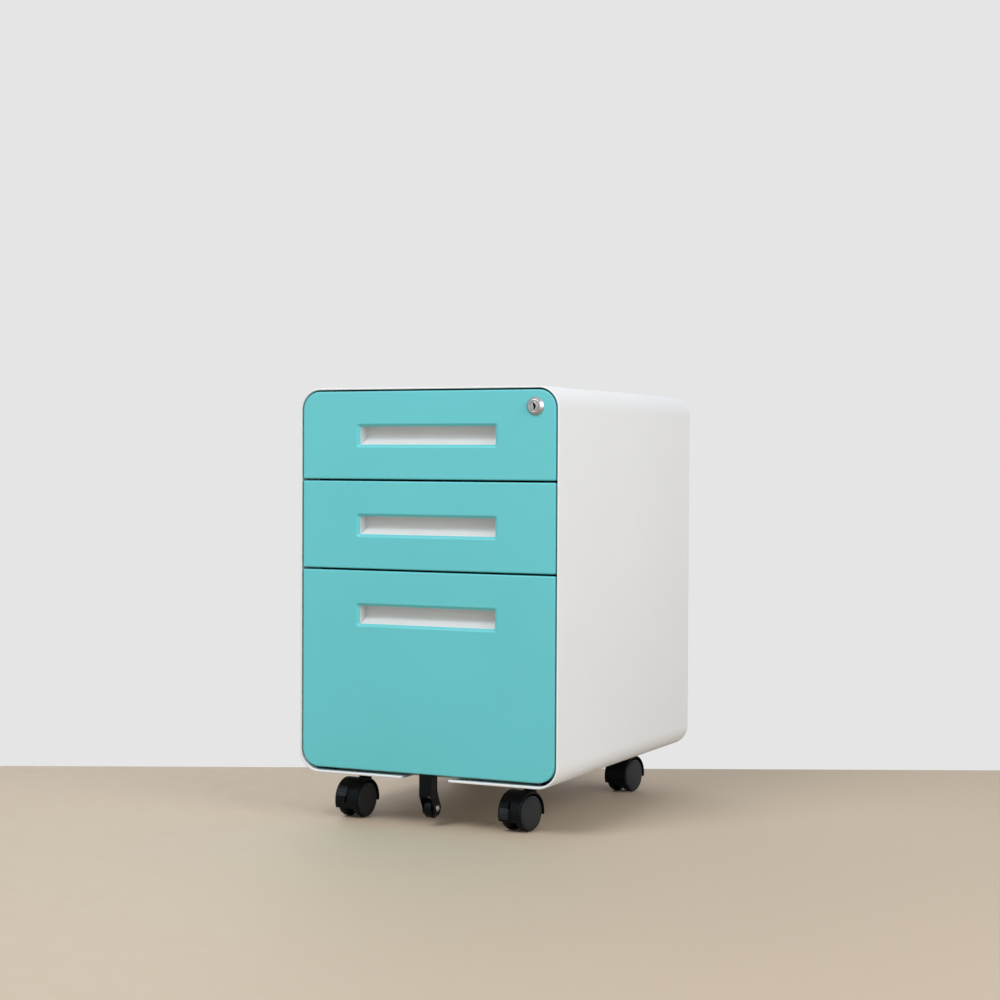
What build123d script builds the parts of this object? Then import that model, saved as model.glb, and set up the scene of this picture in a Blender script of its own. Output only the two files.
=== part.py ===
from build123d import *

import os
from collections import namedtuple
from math import cos, radians, sin

# Mobile filing cabinet: two box drawers over one file drawer, on four casters. Millimetres.
# The origin is on the floor under the middle of the case, +Z is up and the drawer fronts face -Y.

# Case: one wrapped sheet for top, sides and bottom, hemmed along its front edge
CASE_WIDTH = 394.0
CASE_DEPTH = 500.0
CASE_HEIGHT = 535.0
CASE_CORNER_R = 30.0
CASE_SHEET = 1.2
HEM = 2.4
HEM_DEPTH = 14.0
BOTTOM_LIP = 3.5
NOTCH_WIDTH = 72.0
NOTCH_DEPTH = 36.0
BACK_SHEET = 1.0
BACK_FLANGE = 12.0
BACK_PLAY = 0.2

# Slide posts and caster channels inside the case
POST_DEPTH = 12.0
POST_WIDTH = 30.0
POST_SHEET = 1.2
POST_BEHIND = 9.0
POST_END_ROOM = 4.0
CHANNEL_END_ROOM = 10.0
CHANNEL_DEPTH = 56.0
CHANNEL_HEIGHT = 12.0
CHANNEL_SHEET = 1.5

# Drawer fronts: folded steel pans set flush into the front of the case
FRONT_GAP = 2.2
SEAM_GAP = 2.8
BOTTOM_GAP = 4.7
FRONT_DEPTH = 22.0
FRONT_SHEET = 1.2
FRONT_RIM = 10.0
FRONT_EDGE_R = 2.0
BOX_FRONT_HEIGHT = 120.7

# Pull: a pressed border around an opening, with a plastic cup behind it
PULL_DROP = 60.9
PULL_BORDER_WIDTH = 215.6
PULL_BORDER_HEIGHT = 32.0
PULL_BORDER_R = 4.0
PULL_WIDTH = 206.5
PULL_HEIGHT = 24.6
PULL_R = 2.0
PULL_PRESS = 3.5
CUP_WALL = 1.5
CUP_BACK_ROOM = 1.0
CUP_RISE = 10.0
CUP_SILL = 4.0
CUP_LIP = 0.8
CUP_HEADROOM = 9.0
CUP_RIM = 5.0
CUP_SEAT = 0.2

# Trays
TRAY_SHEET = 1.0
TRAY_LIFT = 10.0
TRAY_EDGE = 8.0
BOX_TRAY_DROP = 45.0
FILE_TRAY_DROP = 35.0
TRAY_BEHIND_RAIL = 28.0
EAR_LIFT = 8.0
EAR_PLAY = 1.2
EAR_SCREW_EDGE = 8.0
CATCH_DROP = 16.0

# Ball-bearing slides: the thickness is the room at each side of a tray
SLIDE_THICKNESS = 12.7
RAIL_SHEET = 1.2
RAIL_LIP_ROOM = 2.2
RAIL_BEHIND = 12.0
RAIL_BACK_ROOM = 66.0
BOX_SLIDE_HEIGHT = 35.0
FILE_SLIDE_HEIGHT = 45.0
BOX_SLIDE_LIFT = 30.0
FILE_SLIDE_LIFT = 120.0
RACE = 4.0
BALL_PLAY = 0.1
CAGE_SHEET = 0.6
BALL_PITCH = 18.0
CAGE_PLAY = 0.2
CAGE_END = 5.0
RAIL_SCREW_FRONT = 45.0
RAIL_SCREW_BACK = 60.0

# Fasteners
RIVET_R = 2.5
RIVET_HEAD_R = 4.0
RIVET_HEAD = 2.0
SCREW_R = 1.75
SCREW_HEAD_R = 3.5
SCREW_HEAD = 1.8
HOLE_PLAY = 0.05
STEM_HOLE_PLAY = 0.4
SCREW_END = 2.0

# Lock on the top drawer, and the bar it lifts
LOCK_INSET = 30.0
LOCK_DROP = 22.3
BEZEL_R = 12.6
BEZEL_FACE_R = 8.6
BEZEL_HEIGHT = 4.6
BEZEL_EDGE = 0.8
BEZEL_EASE = 0.5
BARREL_R = 9.3
PLUG_R = 6.5
PLUG_PLAY = 0.06
KEY_SLOT_WIDTH = 2.4
KEY_SLOT_HEIGHT = 7.8
KEY_SLOT_DEPTH = 4.0
BARREL_PLAY = 0.2
BARREL_SETBACK = 1.0
NUT_R = 12.5
NUT_THICKNESS = 5.0
CAM_SHEET = 1.5
CAM_ROOT = 3.2
CAM_TIP = 2.6
CAM_EYE = 1.6
CAM_GAP = 0.4
CRANK_R = 9.0
CRANK_PIN_R = 2.0
BAR_WIDTH = 6.0
BAR_SHEET = 2.0
BAR_INSET = 3.3
BAR_BEHIND = 4.0
BAR_FOOT = 30.0
BAR_LUG_HEIGHT = 11.0
BAR_LUG_END = 4.0
BAR_SLOT_PLAY = 0.6
FINGER_HEIGHT = 6.0
FINGER_REACH = 12.5
CATCH_REACH = 9.4
CATCH_SHEET = 2.5
CATCH_PLAY = 1.2
GUIDE_SHEET = 1.2
GUIDE_PLAY = 0.3
GUIDE_HEIGHT = 12.0

# Hanging-file rails
FILE_RAIL_INSET = 11.1
FILE_RAIL_SHEET = 2.0
FILE_RAIL_RISE = 7.0
FILE_RAIL_SKIRT = 8.0

# Anti-tip wheel under the file drawer
TIP_WIDTH = 18.6
TIP_SHEET = 1.5
TIP_SETBACK = 1.5
TIP_DEPTH = 18.5
TIP_WEB = 30.0
TIP_END_R = 10.0
TIP_AXLE_Z = 25.0
TIP_AXLE_R = 2.5
TIP_AXLE_BACK = 1.0
TIP_AXLE_HEAD_R = 4.2
TIP_AXLE_HEAD = 1.3
TIP_SCREW_FRONT = 5.5
TIP_SCREW_BACK = 4.0
TIP_WHEEL_R = 13.8
TIP_WHEEL_WIDTH = 10.6
TIP_WHEEL_EDGE = 1.2
TIP_HUB_R = 4.6
TIP_HUB_PLAY = 0.35

# Casters: hooded twin wheels, the stem behind the axle
STEM_INSET_X = 69.0
STEM_INSET_FRONT = 65.0
STEM_INSET_BACK = 61.0
STEM_R = 4.0
STEM_TRAIL = 20.0
STEM_FOOT_WALL = 1.2
STEM_END_PLAY = 0.5
COLLAR_R = 8.0
COLLAR_HEIGHT = 3.4
STEM_NUT_WALL = 2.5
STEM_NUT_HEIGHT = 6.5
WHEEL_R = 25.0
CASTER_HEAD = 15.0
HOOD_GAP = 1.6
HOOD_WALL = 2.9
HOOD_WIDTH = 36.4
HOOD_EDGE_R = 1.6
HOOD_BACK_END = -8.0
HOOD_FRONT_END = 201.0
HOOD_KEEL = 7.0
HOOD_KEEL_HALF = 4.0
WEB_THICKNESS = 6.0
WEB_PLAY = 0.6
WHEEL_FACE = 18.0
WHEEL_DOME = 18.9
WHEEL_EDGE_R = 4.0
WHEEL_GROOVE = 0.7
WHEEL_HUB_WALL = 2.0
BOSS_R = 9.0
BOSS_PLAY = 0.3
AXLE_R = 3.0
RUN_PLAY = 0.05
LEVER_SHEET = 2.4
LEVER_PLAY = 0.4
LEVER_ARM = 6.4
LEVER_HUB = 3.0
LEVER_UP = 154.0
LEVER_DOWN = 178.0
LEVER_PAD = 3.0
LEVER_PAD_GAP = 0.5
LEVER_PAD_WIDTH = 15.0
LEVER_PAD_ANGLE = 13.0
LEVER_RIDGE_STEP = 5.0
LEVER_RIDGE = 1.2

# Places that follow from the sizes
case_bottom = 2 * WHEEL_R + CASTER_HEAD
case_top = case_bottom + CASE_HEIGHT
case_mid = case_bottom + CASE_HEIGHT / 2
front_y = -CASE_DEPTH / 2
back_y = CASE_DEPTH / 2
wall_x = CASE_WIDTH / 2 - CASE_SHEET
post_x = wall_x - POST_DEPTH
tray_x = post_x - SLIDE_THICKNESS
front_x = CASE_WIDTH / 2 - HEM - FRONT_GAP
front_corner_r = CASE_CORNER_R - HEM - FRONT_GAP
floor_z = case_bottom + CASE_SHEET

rail_y = front_y + FRONT_DEPTH + RAIL_BEHIND
rail_length = back_y - RAIL_BACK_ROOM - rail_y
rail_mid_y = rail_y + rail_length / 2
rail_back_y = rail_y + rail_length
post_y = front_y + FRONT_DEPTH + POST_BEHIND
front_post_mid = post_y + POST_WIDTH / 2
rear_post_mid = rail_back_y - POST_WIDTH

tray_y = front_y + FRONT_DEPTH
tray_back_y = rail_back_y + TRAY_BEHIND_RAIL
ear_x = front_x - FRONT_SHEET - EAR_PLAY
ear_screw_x = front_x - FRONT_SHEET - FRONT_RIM / 2

crank_rise = CRANK_R * sin(radians(45))
bar_travel = 2 * crank_rise
bar_y = front_y + FRONT_DEPTH + BAR_BEHIND
bar_x1 = wall_x - BAR_INSET
bar_x0 = bar_x1 - BAR_WIDTH
lock_x = front_x - LOCK_INSET
channel_width = CASE_WIDTH - 2 * (CASE_CORNER_R + CHANNEL_END_ROOM)
file_rail_x = tray_x - FILE_RAIL_INSET

Drawer = namedtuple("Drawer", "name z0 z1 tray_z tray_top slide_z slide_h catch_z round_end files")

top_z1 = case_top - HEM - FRONT_GAP
top_z0 = top_z1 - BOX_FRONT_HEIGHT
middle_z1 = top_z0 - SEAM_GAP
middle_z0 = middle_z1 - BOX_FRONT_HEIGHT
file_z1 = middle_z0 - SEAM_GAP
file_z0 = case_bottom + BOTTOM_LIP + BOTTOM_GAP
lock_z = top_z1 - LOCK_DROP

drawers = []
for name, z0, z1, drop, slide_lift, slide_h, round_end in (
    ("top", top_z0, top_z1, BOX_TRAY_DROP, BOX_SLIDE_LIFT, BOX_SLIDE_HEIGHT, 1),
    ("middle", middle_z0, middle_z1, BOX_TRAY_DROP, BOX_SLIDE_LIFT, BOX_SLIDE_HEIGHT, 0),
    ("file", file_z0, file_z1, FILE_TRAY_DROP, FILE_SLIDE_LIFT, FILE_SLIDE_HEIGHT, -1),
):
    tray_z = z0 + TRAY_LIFT
    tray_top = z1 - drop + TRAY_LIFT
    drawers.append(
        Drawer(
            name, z0, z1, tray_z, tray_top, tray_z + slide_lift, slide_h,
            tray_top - CATCH_DROP, round_end, name == "file",
        )
    )

tip_y0 = front_y + TIP_SETBACK
tip_y1 = tip_y0 + TIP_DEPTH
tip_axle_y = tip_y1 + TIP_AXLE_BACK
tip_screw_ys = (tip_y0 + TIP_SCREW_FRONT, tray_y - TIP_SCREW_BACK)

stem_x = CASE_WIDTH / 2 - STEM_INSET_X
stem_front_y = front_y + STEM_INSET_FRONT
stem_back_y = back_y - STEM_INSET_BACK
stem_places = [
    (-stem_x, stem_front_y),
    (stem_x, stem_front_y),
    (-stem_x, stem_back_y),
    (stem_x, stem_back_y),
]

os.makedirs("parts", exist_ok=True)


def band(x0, x1, z0, z1, mode=Mode.ADD):
    """Add an upright rectangle between two pairs of limits to the open sketch."""
    with Locations(((x0 + x1) / 2, (z0 + z1) / 2)):
        Rectangle(abs(x1 - x0), abs(z1 - z0), mode=mode)


def front_outline(drawer, inset):
    """Draw one drawer front's outline, rounded only where it meets the case's corners."""
    half = front_x - inset
    low = drawer.z0 + inset
    high = drawer.z1 - inset
    radius = front_corner_r - inset
    if drawer.round_end == 0:
        band(-half, half, low, high)
        return
    with Locations((0, (low + high) / 2)):
        RectangleRounded(2 * half, high - low, radius)
    if drawer.round_end > 0:
        band(-half, half, low, high - radius)
    else:
        band(-half, half, low + radius, high)


# Case shell: the wrapped sheet, its hem, the notch and the four stem holes
with BuildPart() as case_shell:
    with BuildSketch(Plane.XZ.offset(-front_y)):
        with Locations((0, case_mid)):
            RectangleRounded(CASE_WIDTH, CASE_HEIGHT, CASE_CORNER_R)
            RectangleRounded(
                CASE_WIDTH - 2 * CASE_SHEET,
                CASE_HEIGHT - 2 * CASE_SHEET,
                CASE_CORNER_R - CASE_SHEET,
                mode=Mode.SUBTRACT,
            )
    extrude(amount=-CASE_DEPTH)
    with BuildSketch(Plane.XZ.offset(-front_y)):
        with Locations((0, case_mid)):
            RectangleRounded(CASE_WIDTH, CASE_HEIGHT, CASE_CORNER_R)
        with Locations((0, case_mid + (BOTTOM_LIP - HEM) / 2)):
            RectangleRounded(
                CASE_WIDTH - 2 * HEM,
                CASE_HEIGHT - HEM - BOTTOM_LIP,
                CASE_CORNER_R - HEM,
                mode=Mode.SUBTRACT,
            )
    extrude(amount=-HEM_DEPTH)
    with BuildSketch(Plane.XY.offset(case_bottom - 1)):
        with Locations((0, front_y + NOTCH_DEPTH / 2)):
            Rectangle(NOTCH_WIDTH, NOTCH_DEPTH)
    extrude(amount=BOTTOM_LIP + 2, mode=Mode.SUBTRACT)
    with BuildSketch(Plane.XY.offset(case_bottom - 1)):
        with Locations(*stem_places):
            Circle(STEM_R + STEM_HOLE_PLAY)
    extrude(amount=CASE_SHEET + 2, mode=Mode.SUBTRACT)
case_shell.part.label = "case_shell"
export_step(case_shell.part, "parts/case_shell.step")

# Back panel: a shallow folded pan set into the open back
with BuildPart() as back_panel:
    back_w = 2 * (wall_x - BACK_PLAY)
    back_h = CASE_HEIGHT - 2 * (CASE_SHEET + BACK_PLAY)
    back_r = CASE_CORNER_R - CASE_SHEET - BACK_PLAY
    with BuildSketch(Plane.XZ.offset(-back_y)):
        with Locations((0, case_mid)):
            RectangleRounded(back_w, back_h, back_r)
    extrude(amount=BACK_FLANGE)
    with BuildSketch(Plane.XZ.offset(-back_y + BACK_SHEET)):
        with Locations((0, case_mid)):
            RectangleRounded(back_w - 2 * BACK_SHEET, back_h - 2 * BACK_SHEET, back_r - BACK_SHEET)
    extrude(amount=BACK_FLANGE, mode=Mode.SUBTRACT)
back_panel.part.label = "back_panel"
export_step(back_panel.part, "parts/back_panel.step")

# Caster channels: stiffeners across the bottom that carry the stems
for name, channel_y in (("front", stem_front_y), ("rear", stem_back_y)):
    with BuildPart() as channel:
        with BuildSketch(Plane.XY.offset(floor_z)):
            with Locations((0, channel_y)):
                Rectangle(channel_width, CHANNEL_DEPTH)
        extrude(amount=CHANNEL_HEIGHT)
        with BuildSketch(Plane.XY.offset(floor_z)):
            with Locations((0, channel_y)):
                Rectangle(channel_width, CHANNEL_DEPTH - 2 * CHANNEL_SHEET)
        extrude(amount=CHANNEL_HEIGHT - CHANNEL_SHEET, mode=Mode.SUBTRACT)
        with BuildSketch(Plane.XY.offset(floor_z)):
            with Locations((-stem_x, channel_y), (stem_x, channel_y)):
                Circle(STEM_R + STEM_HOLE_PLAY)
        extrude(amount=CHANNEL_HEIGHT + 1, mode=Mode.SUBTRACT)
    channel.part.label = f"{name}_caster_channel"
    export_step(channel.part, f"parts/{name}_caster_channel.step")

# Slide posts: two upright channels on each side wall
post_z0 = case_bottom + CASE_CORNER_R + POST_END_ROOM
post_z1 = case_top - CASE_CORNER_R - POST_END_ROOM
rivet_places = [(y, d.slide_z) for d in drawers for y in (front_post_mid, rear_post_mid)]
for name, side in (("left", -1), ("right", 1)):
    with BuildPart() as posts:
        with BuildSketch(Plane.XY.offset(post_z0)):
            with Locations(
                (side * (post_x + POST_DEPTH / 2), front_post_mid),
                (side * (post_x + POST_DEPTH / 2), rear_post_mid),
            ):
                Rectangle(POST_DEPTH, POST_WIDTH)
            with Locations(
                (side * (post_x + POST_SHEET + POST_DEPTH / 2), front_post_mid),
                (side * (post_x + POST_SHEET + POST_DEPTH / 2), rear_post_mid),
            ):
                Rectangle(POST_DEPTH, POST_WIDTH - 2 * POST_SHEET, mode=Mode.SUBTRACT)
        extrude(amount=post_z1 - post_z0)
        with BuildSketch(Plane.YZ.offset(side * (post_x - 1))):
            with Locations(*rivet_places):
                Circle(RIVET_R + HOLE_PLAY)
        extrude(amount=side * (POST_SHEET + 2), mode=Mode.SUBTRACT)
    posts.part.label = f"{name}_slide_posts"
    export_step(posts.part, f"parts/{name}_slide_posts.step")

# Slide rivets: one type, flush inside the outer rails, headed inside the posts
with BuildPart() as slide_rivets:
    with BuildSketch(Plane.YZ.offset(post_x - RAIL_SHEET)):
        with Locations(*rivet_places):
            Circle(RIVET_R)
    extrude(amount=RAIL_SHEET + POST_SHEET)
    with BuildSketch(Plane.YZ.offset(post_x + POST_SHEET)):
        with Locations(*rivet_places):
            Circle(RIVET_HEAD_R)
    extrude(amount=RIVET_HEAD)
    mirror(about=Plane.YZ)
slide_rivets.part.label = "slide_rivets"
export_step(slide_rivets.part, "parts/slide_rivets.step")

# Lock bar: a flat strip with a slotted lug for the crank pin and a finger under each catch
pin_x = lock_x + crank_rise
pin_z = lock_z - crank_rise
file_drawer = drawers[2]
with BuildPart() as lock_bar:
    with BuildSketch(Plane.XZ.offset(-bar_y)):
        band(bar_x0, bar_x1, file_drawer.catch_z - bar_travel - BAR_FOOT, pin_z + 1)
        band(
            pin_x - CRANK_PIN_R - BAR_LUG_END,
            bar_x0 + BAR_WIDTH / 2,
            pin_z - BAR_LUG_HEIGHT / 2,
            pin_z + BAR_LUG_HEIGHT / 2,
        )
        band(
            pin_x - CRANK_PIN_R - BAR_SLOT_PLAY,
            lock_x + CRANK_R + CRANK_PIN_R + BAR_SLOT_PLAY,
            pin_z - CRANK_PIN_R - BAR_SLOT_PLAY,
            pin_z + CRANK_PIN_R + BAR_SLOT_PLAY,
            mode=Mode.SUBTRACT,
        )
        for d in drawers:
            finger_z = d.catch_z - bar_travel
            band(
                bar_x0 - FINGER_REACH,
                bar_x0 + BAR_WIDTH / 2,
                finger_z - FINGER_HEIGHT / 2,
                finger_z + FINGER_HEIGHT / 2,
            )
    extrude(amount=-BAR_SHEET)
lock_bar.part.label = "lock_bar"
export_step(lock_bar.part, "parts/lock_bar.step")

# Lock bar guides: straps on the right front post, between the trays
guide_places = [
    (drawers[1].tray_top + drawers[0].tray_z) / 2,
    (drawers[2].tray_top + drawers[1].tray_z) / 2,
]
with BuildPart() as lock_bar_guides:
    guide_x0 = bar_x0 - GUIDE_PLAY
    guide_x1 = bar_x1 + GUIDE_PLAY
    guide_y0 = bar_y - GUIDE_PLAY - GUIDE_SHEET
    for z in guide_places:
        with BuildSketch(Plane.XY.offset(z - GUIDE_HEIGHT / 2)):
            band(guide_x0 - GUIDE_SHEET, guide_x1 + GUIDE_SHEET, guide_y0, post_y)
            band(guide_x0, guide_x1, guide_y0 + GUIDE_SHEET, post_y, mode=Mode.SUBTRACT)
        extrude(amount=GUIDE_HEIGHT)
lock_bar_guides.part.label = "lock_bar_guides"
export_step(lock_bar_guides.part, "parts/lock_bar_guides.step")

# Slides: nested channels with a race of balls between each pair of members
for d in drawers:
    members = 3 if d.files else 2
    flange = d.slide_h / 2
    outer_lip_x = tray_x + RAIL_LIP_ROOM
    rail_plane = Plane.XZ.offset(-rail_y)
    with BuildPart() as outer_rails:
        with BuildSketch(rail_plane):
            band(outer_lip_x, post_x, d.slide_z - flange, d.slide_z + flange)
            band(
                outer_lip_x - 1,
                post_x - RAIL_SHEET,
                d.slide_z - flange + RAIL_SHEET,
                d.slide_z + flange - RAIL_SHEET,
                mode=Mode.SUBTRACT,
            )
        extrude(amount=-rail_length)
        with BuildSketch(Plane.YZ.offset(post_x - RAIL_SHEET - 1)):
            with Locations((front_post_mid, d.slide_z), (rear_post_mid, d.slide_z)):
                Circle(RIVET_R + HOLE_PLAY)
        extrude(amount=RAIL_SHEET + 2, mode=Mode.SUBTRACT)
        mirror(about=Plane.YZ)
    outer_rails.part.label = f"{d.name}_outer_rails"
    export_step(outer_rails.part, f"parts/{d.name}_outer_rails.step")

    cage_spans = []
    gap_outer = flange - RAIL_SHEET
    web_u = RAIL_SHEET + CAGE_PLAY
    if members == 3:
        with BuildPart() as middle_rails:
            middle_u = web_u + CAGE_SHEET + CAGE_PLAY
            middle_flange = gap_outer - RACE
            with BuildSketch(rail_plane):
                band(
                    outer_lip_x - 0.5,
                    post_x - middle_u,
                    d.slide_z - middle_flange,
                    d.slide_z + middle_flange,
                )
                band(
                    outer_lip_x - 1,
                    post_x - middle_u - RAIL_SHEET,
                    d.slide_z - middle_flange + RAIL_SHEET,
                    d.slide_z + middle_flange - RAIL_SHEET,
                    mode=Mode.SUBTRACT,
                )
            extrude(amount=-rail_length)
            mirror(about=Plane.YZ)
        middle_rails.part.label = f"{d.name}_middle_rails"
        export_step(middle_rails.part, f"parts/{d.name}_middle_rails.step")
        cage_spans.append(("outer_", web_u, gap_outer, rail_length / 2))
        gap_inner = middle_flange - RAIL_SHEET
        inner_web_u = middle_u + RAIL_SHEET + CAGE_PLAY
        cage_spans.append(("inner_", inner_web_u, gap_inner, rail_length / 2))
    else:
        gap_inner = gap_outer
        inner_web_u = web_u
        cage_spans.append(("", web_u, gap_outer, rail_length / 4))

    inner_flange = gap_inner - RACE
    inner_u = inner_web_u + CAGE_SHEET + 1.5 * CAGE_PLAY
    screw_ys = (rail_y + RAIL_SCREW_FRONT, rail_back_y - RAIL_SCREW_BACK)
    with BuildPart() as inner_rails:
        with BuildSketch(rail_plane):
            band(tray_x, post_x - inner_u, d.slide_z - inner_flange, d.slide_z + inner_flange)
            band(
                tray_x + RAIL_SHEET,
                post_x,
                d.slide_z - inner_flange + RAIL_SHEET,
                d.slide_z + inner_flange - RAIL_SHEET,
                mode=Mode.SUBTRACT,
            )
        extrude(amount=-rail_length)
        with BuildSketch(Plane.YZ.offset(tray_x - 1)):
            with Locations(*[(y, d.slide_z) for y in screw_ys]):
                Circle(SCREW_R + HOLE_PLAY)
        extrude(amount=RAIL_SHEET + 2, mode=Mode.SUBTRACT)
        mirror(about=Plane.YZ)
    inner_rails.part.label = f"{d.name}_inner_rails"
    export_step(inner_rails.part, f"parts/{d.name}_inner_rails.step")

    for cage_name, cage_u, gap, cage_length in cage_spans:
        race_v = gap - RACE / 2
        ball_x = post_x - (cage_u + CAGE_SHEET + SLIDE_THICKNESS - RAIL_LIP_ROOM) / 2
        length = cage_length - RACE
        count = int((length - 2 * CAGE_END) // BALL_PITCH) + 1
        ball_ys = [rail_mid_y + (i - (count - 1) / 2) * BALL_PITCH for i in range(count)]
        with BuildPart() as ball_cages:
            with BuildSketch(Plane.XZ.offset(-(rail_mid_y - length / 2))):
                band(
                    post_x - cage_u - CAGE_SHEET,
                    post_x - cage_u,
                    d.slide_z - race_v - CAGE_SHEET / 2,
                    d.slide_z + race_v + CAGE_SHEET / 2,
                )
                for v in (-race_v, race_v):
                    band(
                        ball_x - RACE / 2 - 2 * CAGE_PLAY,
                        post_x - cage_u,
                        d.slide_z + v - CAGE_SHEET / 2,
                        d.slide_z + v + CAGE_SHEET / 2,
                    )
            extrude(amount=-length)
            with Locations(*[(ball_x, y, d.slide_z + v) for y in ball_ys for v in (-race_v, race_v)]):
                Sphere(RACE / 2 - BALL_PLAY)
            mirror(about=Plane.YZ)
        ball_cages.part.label = f"{d.name}_{cage_name}ball_cages"
        export_step(ball_cages.part, f"parts/{d.name}_{cage_name}ball_cages.step")

# Drawers: front, pull cup, tray and screws
for d in drawers:
    pull_z = d.z1 - PULL_DROP
    ear_zs = (d.tray_z + EAR_LIFT + EAR_SCREW_EDGE, d.tray_top - EAR_SCREW_EDGE)
    ear_screw_places = [(side * ear_screw_x, z) for side in (-1, 1) for z in ear_zs]
    with BuildPart() as front:
        with BuildSketch(Plane.XZ.offset(-front_y)):
            front_outline(d, 0)
        extrude(amount=-FRONT_DEPTH)
        fillet(front.faces().sort_by(Axis.Y)[0].edges(), FRONT_EDGE_R)
        with BuildSketch(Plane.XZ.offset(-front_y - FRONT_SHEET)):
            front_outline(d, FRONT_SHEET)
        extrude(amount=-(FRONT_DEPTH - 2 * FRONT_SHEET), mode=Mode.SUBTRACT)
        with BuildSketch(Plane.XZ.offset(-tray_y + FRONT_SHEET)):
            front_outline(d, FRONT_SHEET + FRONT_RIM)
        extrude(amount=-FRONT_SHEET, mode=Mode.SUBTRACT)
        with BuildSketch(Plane.XZ.offset(-front_y - FRONT_SHEET / 2)):
            with Locations((0, pull_z)):
                RectangleRounded(
                    PULL_BORDER_WIDTH + 2 * FRONT_SHEET,
                    PULL_BORDER_HEIGHT + 2 * FRONT_SHEET,
                    PULL_BORDER_R + FRONT_SHEET,
                )
        with BuildSketch(Plane.XZ.offset(-front_y - PULL_PRESS)):
            with Locations((0, pull_z)):
                RectangleRounded(
                    PULL_WIDTH + 2 * FRONT_SHEET, PULL_HEIGHT + 2 * FRONT_SHEET, PULL_R + FRONT_SHEET
                )
        loft()
        with BuildSketch(Plane.XZ.offset(-front_y)):
            with Locations((0, pull_z)):
                RectangleRounded(PULL_BORDER_WIDTH, PULL_BORDER_HEIGHT, PULL_BORDER_R)
        with BuildSketch(Plane.XZ.offset(-front_y - PULL_PRESS)):
            with Locations((0, pull_z)):
                RectangleRounded(PULL_WIDTH, PULL_HEIGHT, PULL_R)
        loft(mode=Mode.SUBTRACT)
        with BuildSketch(Plane.XZ.offset(-tray_y)):
            with Locations(*ear_screw_places):
                Circle(SCREW_R + HOLE_PLAY)
        extrude(amount=FRONT_SHEET, mode=Mode.SUBTRACT)
        if d.name == "top":
            with BuildSketch(Plane.XZ.offset(-front_y)):
                with Locations((lock_x, lock_z)):
                    Circle(BARREL_R + BARREL_PLAY)
            extrude(amount=-FRONT_SHEET, mode=Mode.SUBTRACT)
        if d.files:
            with BuildSketch(Plane.XY.offset(d.z0)):
                with Locations(*[(0, y) for y in tip_screw_ys]):
                    Circle(SCREW_R + HOLE_PLAY)
            extrude(amount=FRONT_SHEET, mode=Mode.SUBTRACT)
    front.part.label = f"{d.name}_front"
    export_step(front.part, f"parts/{d.name}_front.step")

    cup_y = front_y + PULL_PRESS + CUP_SEAT
    cup_back_y = tray_y - CUP_BACK_ROOM - CUP_WALL
    cup_low = pull_z - PULL_HEIGHT / 2
    cup_high = pull_z + PULL_HEIGHT / 2
    cup_roof = cup_high + CUP_HEADROOM
    lip_y = cup_y + CUP_WALL + CUP_LIP
    with BuildPart() as pull_cup:
        with BuildSketch(Plane.XZ.offset(-cup_y)):
            with Locations((0, pull_z)):
                Rectangle(PULL_WIDTH + 2 * CUP_RIM, PULL_HEIGHT + 2 * CUP_RIM)
        extrude(amount=-CUP_WALL)
        with BuildSketch(Plane.YZ):
            Polygon(
                (cup_y, cup_low - CUP_WALL),
                (cup_y + CUP_SILL, cup_low - CUP_WALL),
                (cup_back_y + CUP_WALL, cup_low + CUP_RISE - CUP_WALL),
                (cup_back_y + CUP_WALL, cup_roof + CUP_WALL),
                (cup_y, cup_roof + CUP_WALL),
            )
        extrude(amount=PULL_WIDTH / 2 + CUP_WALL, both=True)
        with BuildSketch(Plane.YZ):
            Polygon(
                (cup_y - 1, cup_low),
                (cup_y + CUP_SILL / 2, cup_low),
                (cup_back_y, cup_low + CUP_RISE),
                (cup_back_y, cup_roof),
                (lip_y, cup_roof),
                (lip_y, cup_high),
                (cup_y - 1, cup_high),
            )
        extrude(amount=PULL_WIDTH / 2, both=True, mode=Mode.SUBTRACT)
    pull_cup.part.label = f"{d.name}_pull_cup"
    export_step(pull_cup.part, f"parts/{d.name}_pull_cup.step")

    screw_ys = (rail_y + RAIL_SCREW_FRONT, rail_back_y - RAIL_SCREW_BACK)
    with BuildPart() as tray:
        with BuildSketch(Plane.XY.offset(d.tray_z)):
            band(-tray_x, tray_x, tray_y, tray_back_y)
        extrude(amount=d.tray_top - d.tray_z)
        with BuildSketch(Plane.XY.offset(d.tray_z + TRAY_SHEET)):
            band(-tray_x + TRAY_SHEET, tray_x - TRAY_SHEET, tray_y + TRAY_SHEET, tray_back_y - TRAY_SHEET)
        extrude(amount=d.tray_top - d.tray_z, mode=Mode.SUBTRACT)
        with BuildSketch(Plane.XZ.offset(-tray_y)):
            band(-ear_x, ear_x, d.tray_z + EAR_LIFT, d.tray_top)
        extrude(amount=-TRAY_SHEET)
        with BuildSketch(Plane.XY.offset(d.tray_top)):
            for side in (-1, 1):
                band(
                    side * (tray_x - 2 * TRAY_SHEET),
                    side * tray_x,
                    tray_y + TRAY_SHEET / 2,
                    tray_back_y - TRAY_SHEET / 2,
                )
            band(-tray_x + 1, tray_x - 1, tray_back_y - 2 * TRAY_SHEET, tray_back_y)
        extrude(amount=-TRAY_EDGE)
        catch_y = bar_y + BAR_SHEET + CATCH_PLAY
        with BuildSketch(Plane.XY.offset(d.catch_z - FINGER_HEIGHT / 2)):
            band(tray_x - TRAY_SHEET / 2, tray_x + CATCH_REACH, catch_y, catch_y + CATCH_SHEET)
        extrude(amount=FINGER_HEIGHT)
        with BuildSketch(Plane.YZ):
            with Locations(*[(y, d.slide_z) for y in screw_ys]):
                Circle(SCREW_R + HOLE_PLAY)
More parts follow.
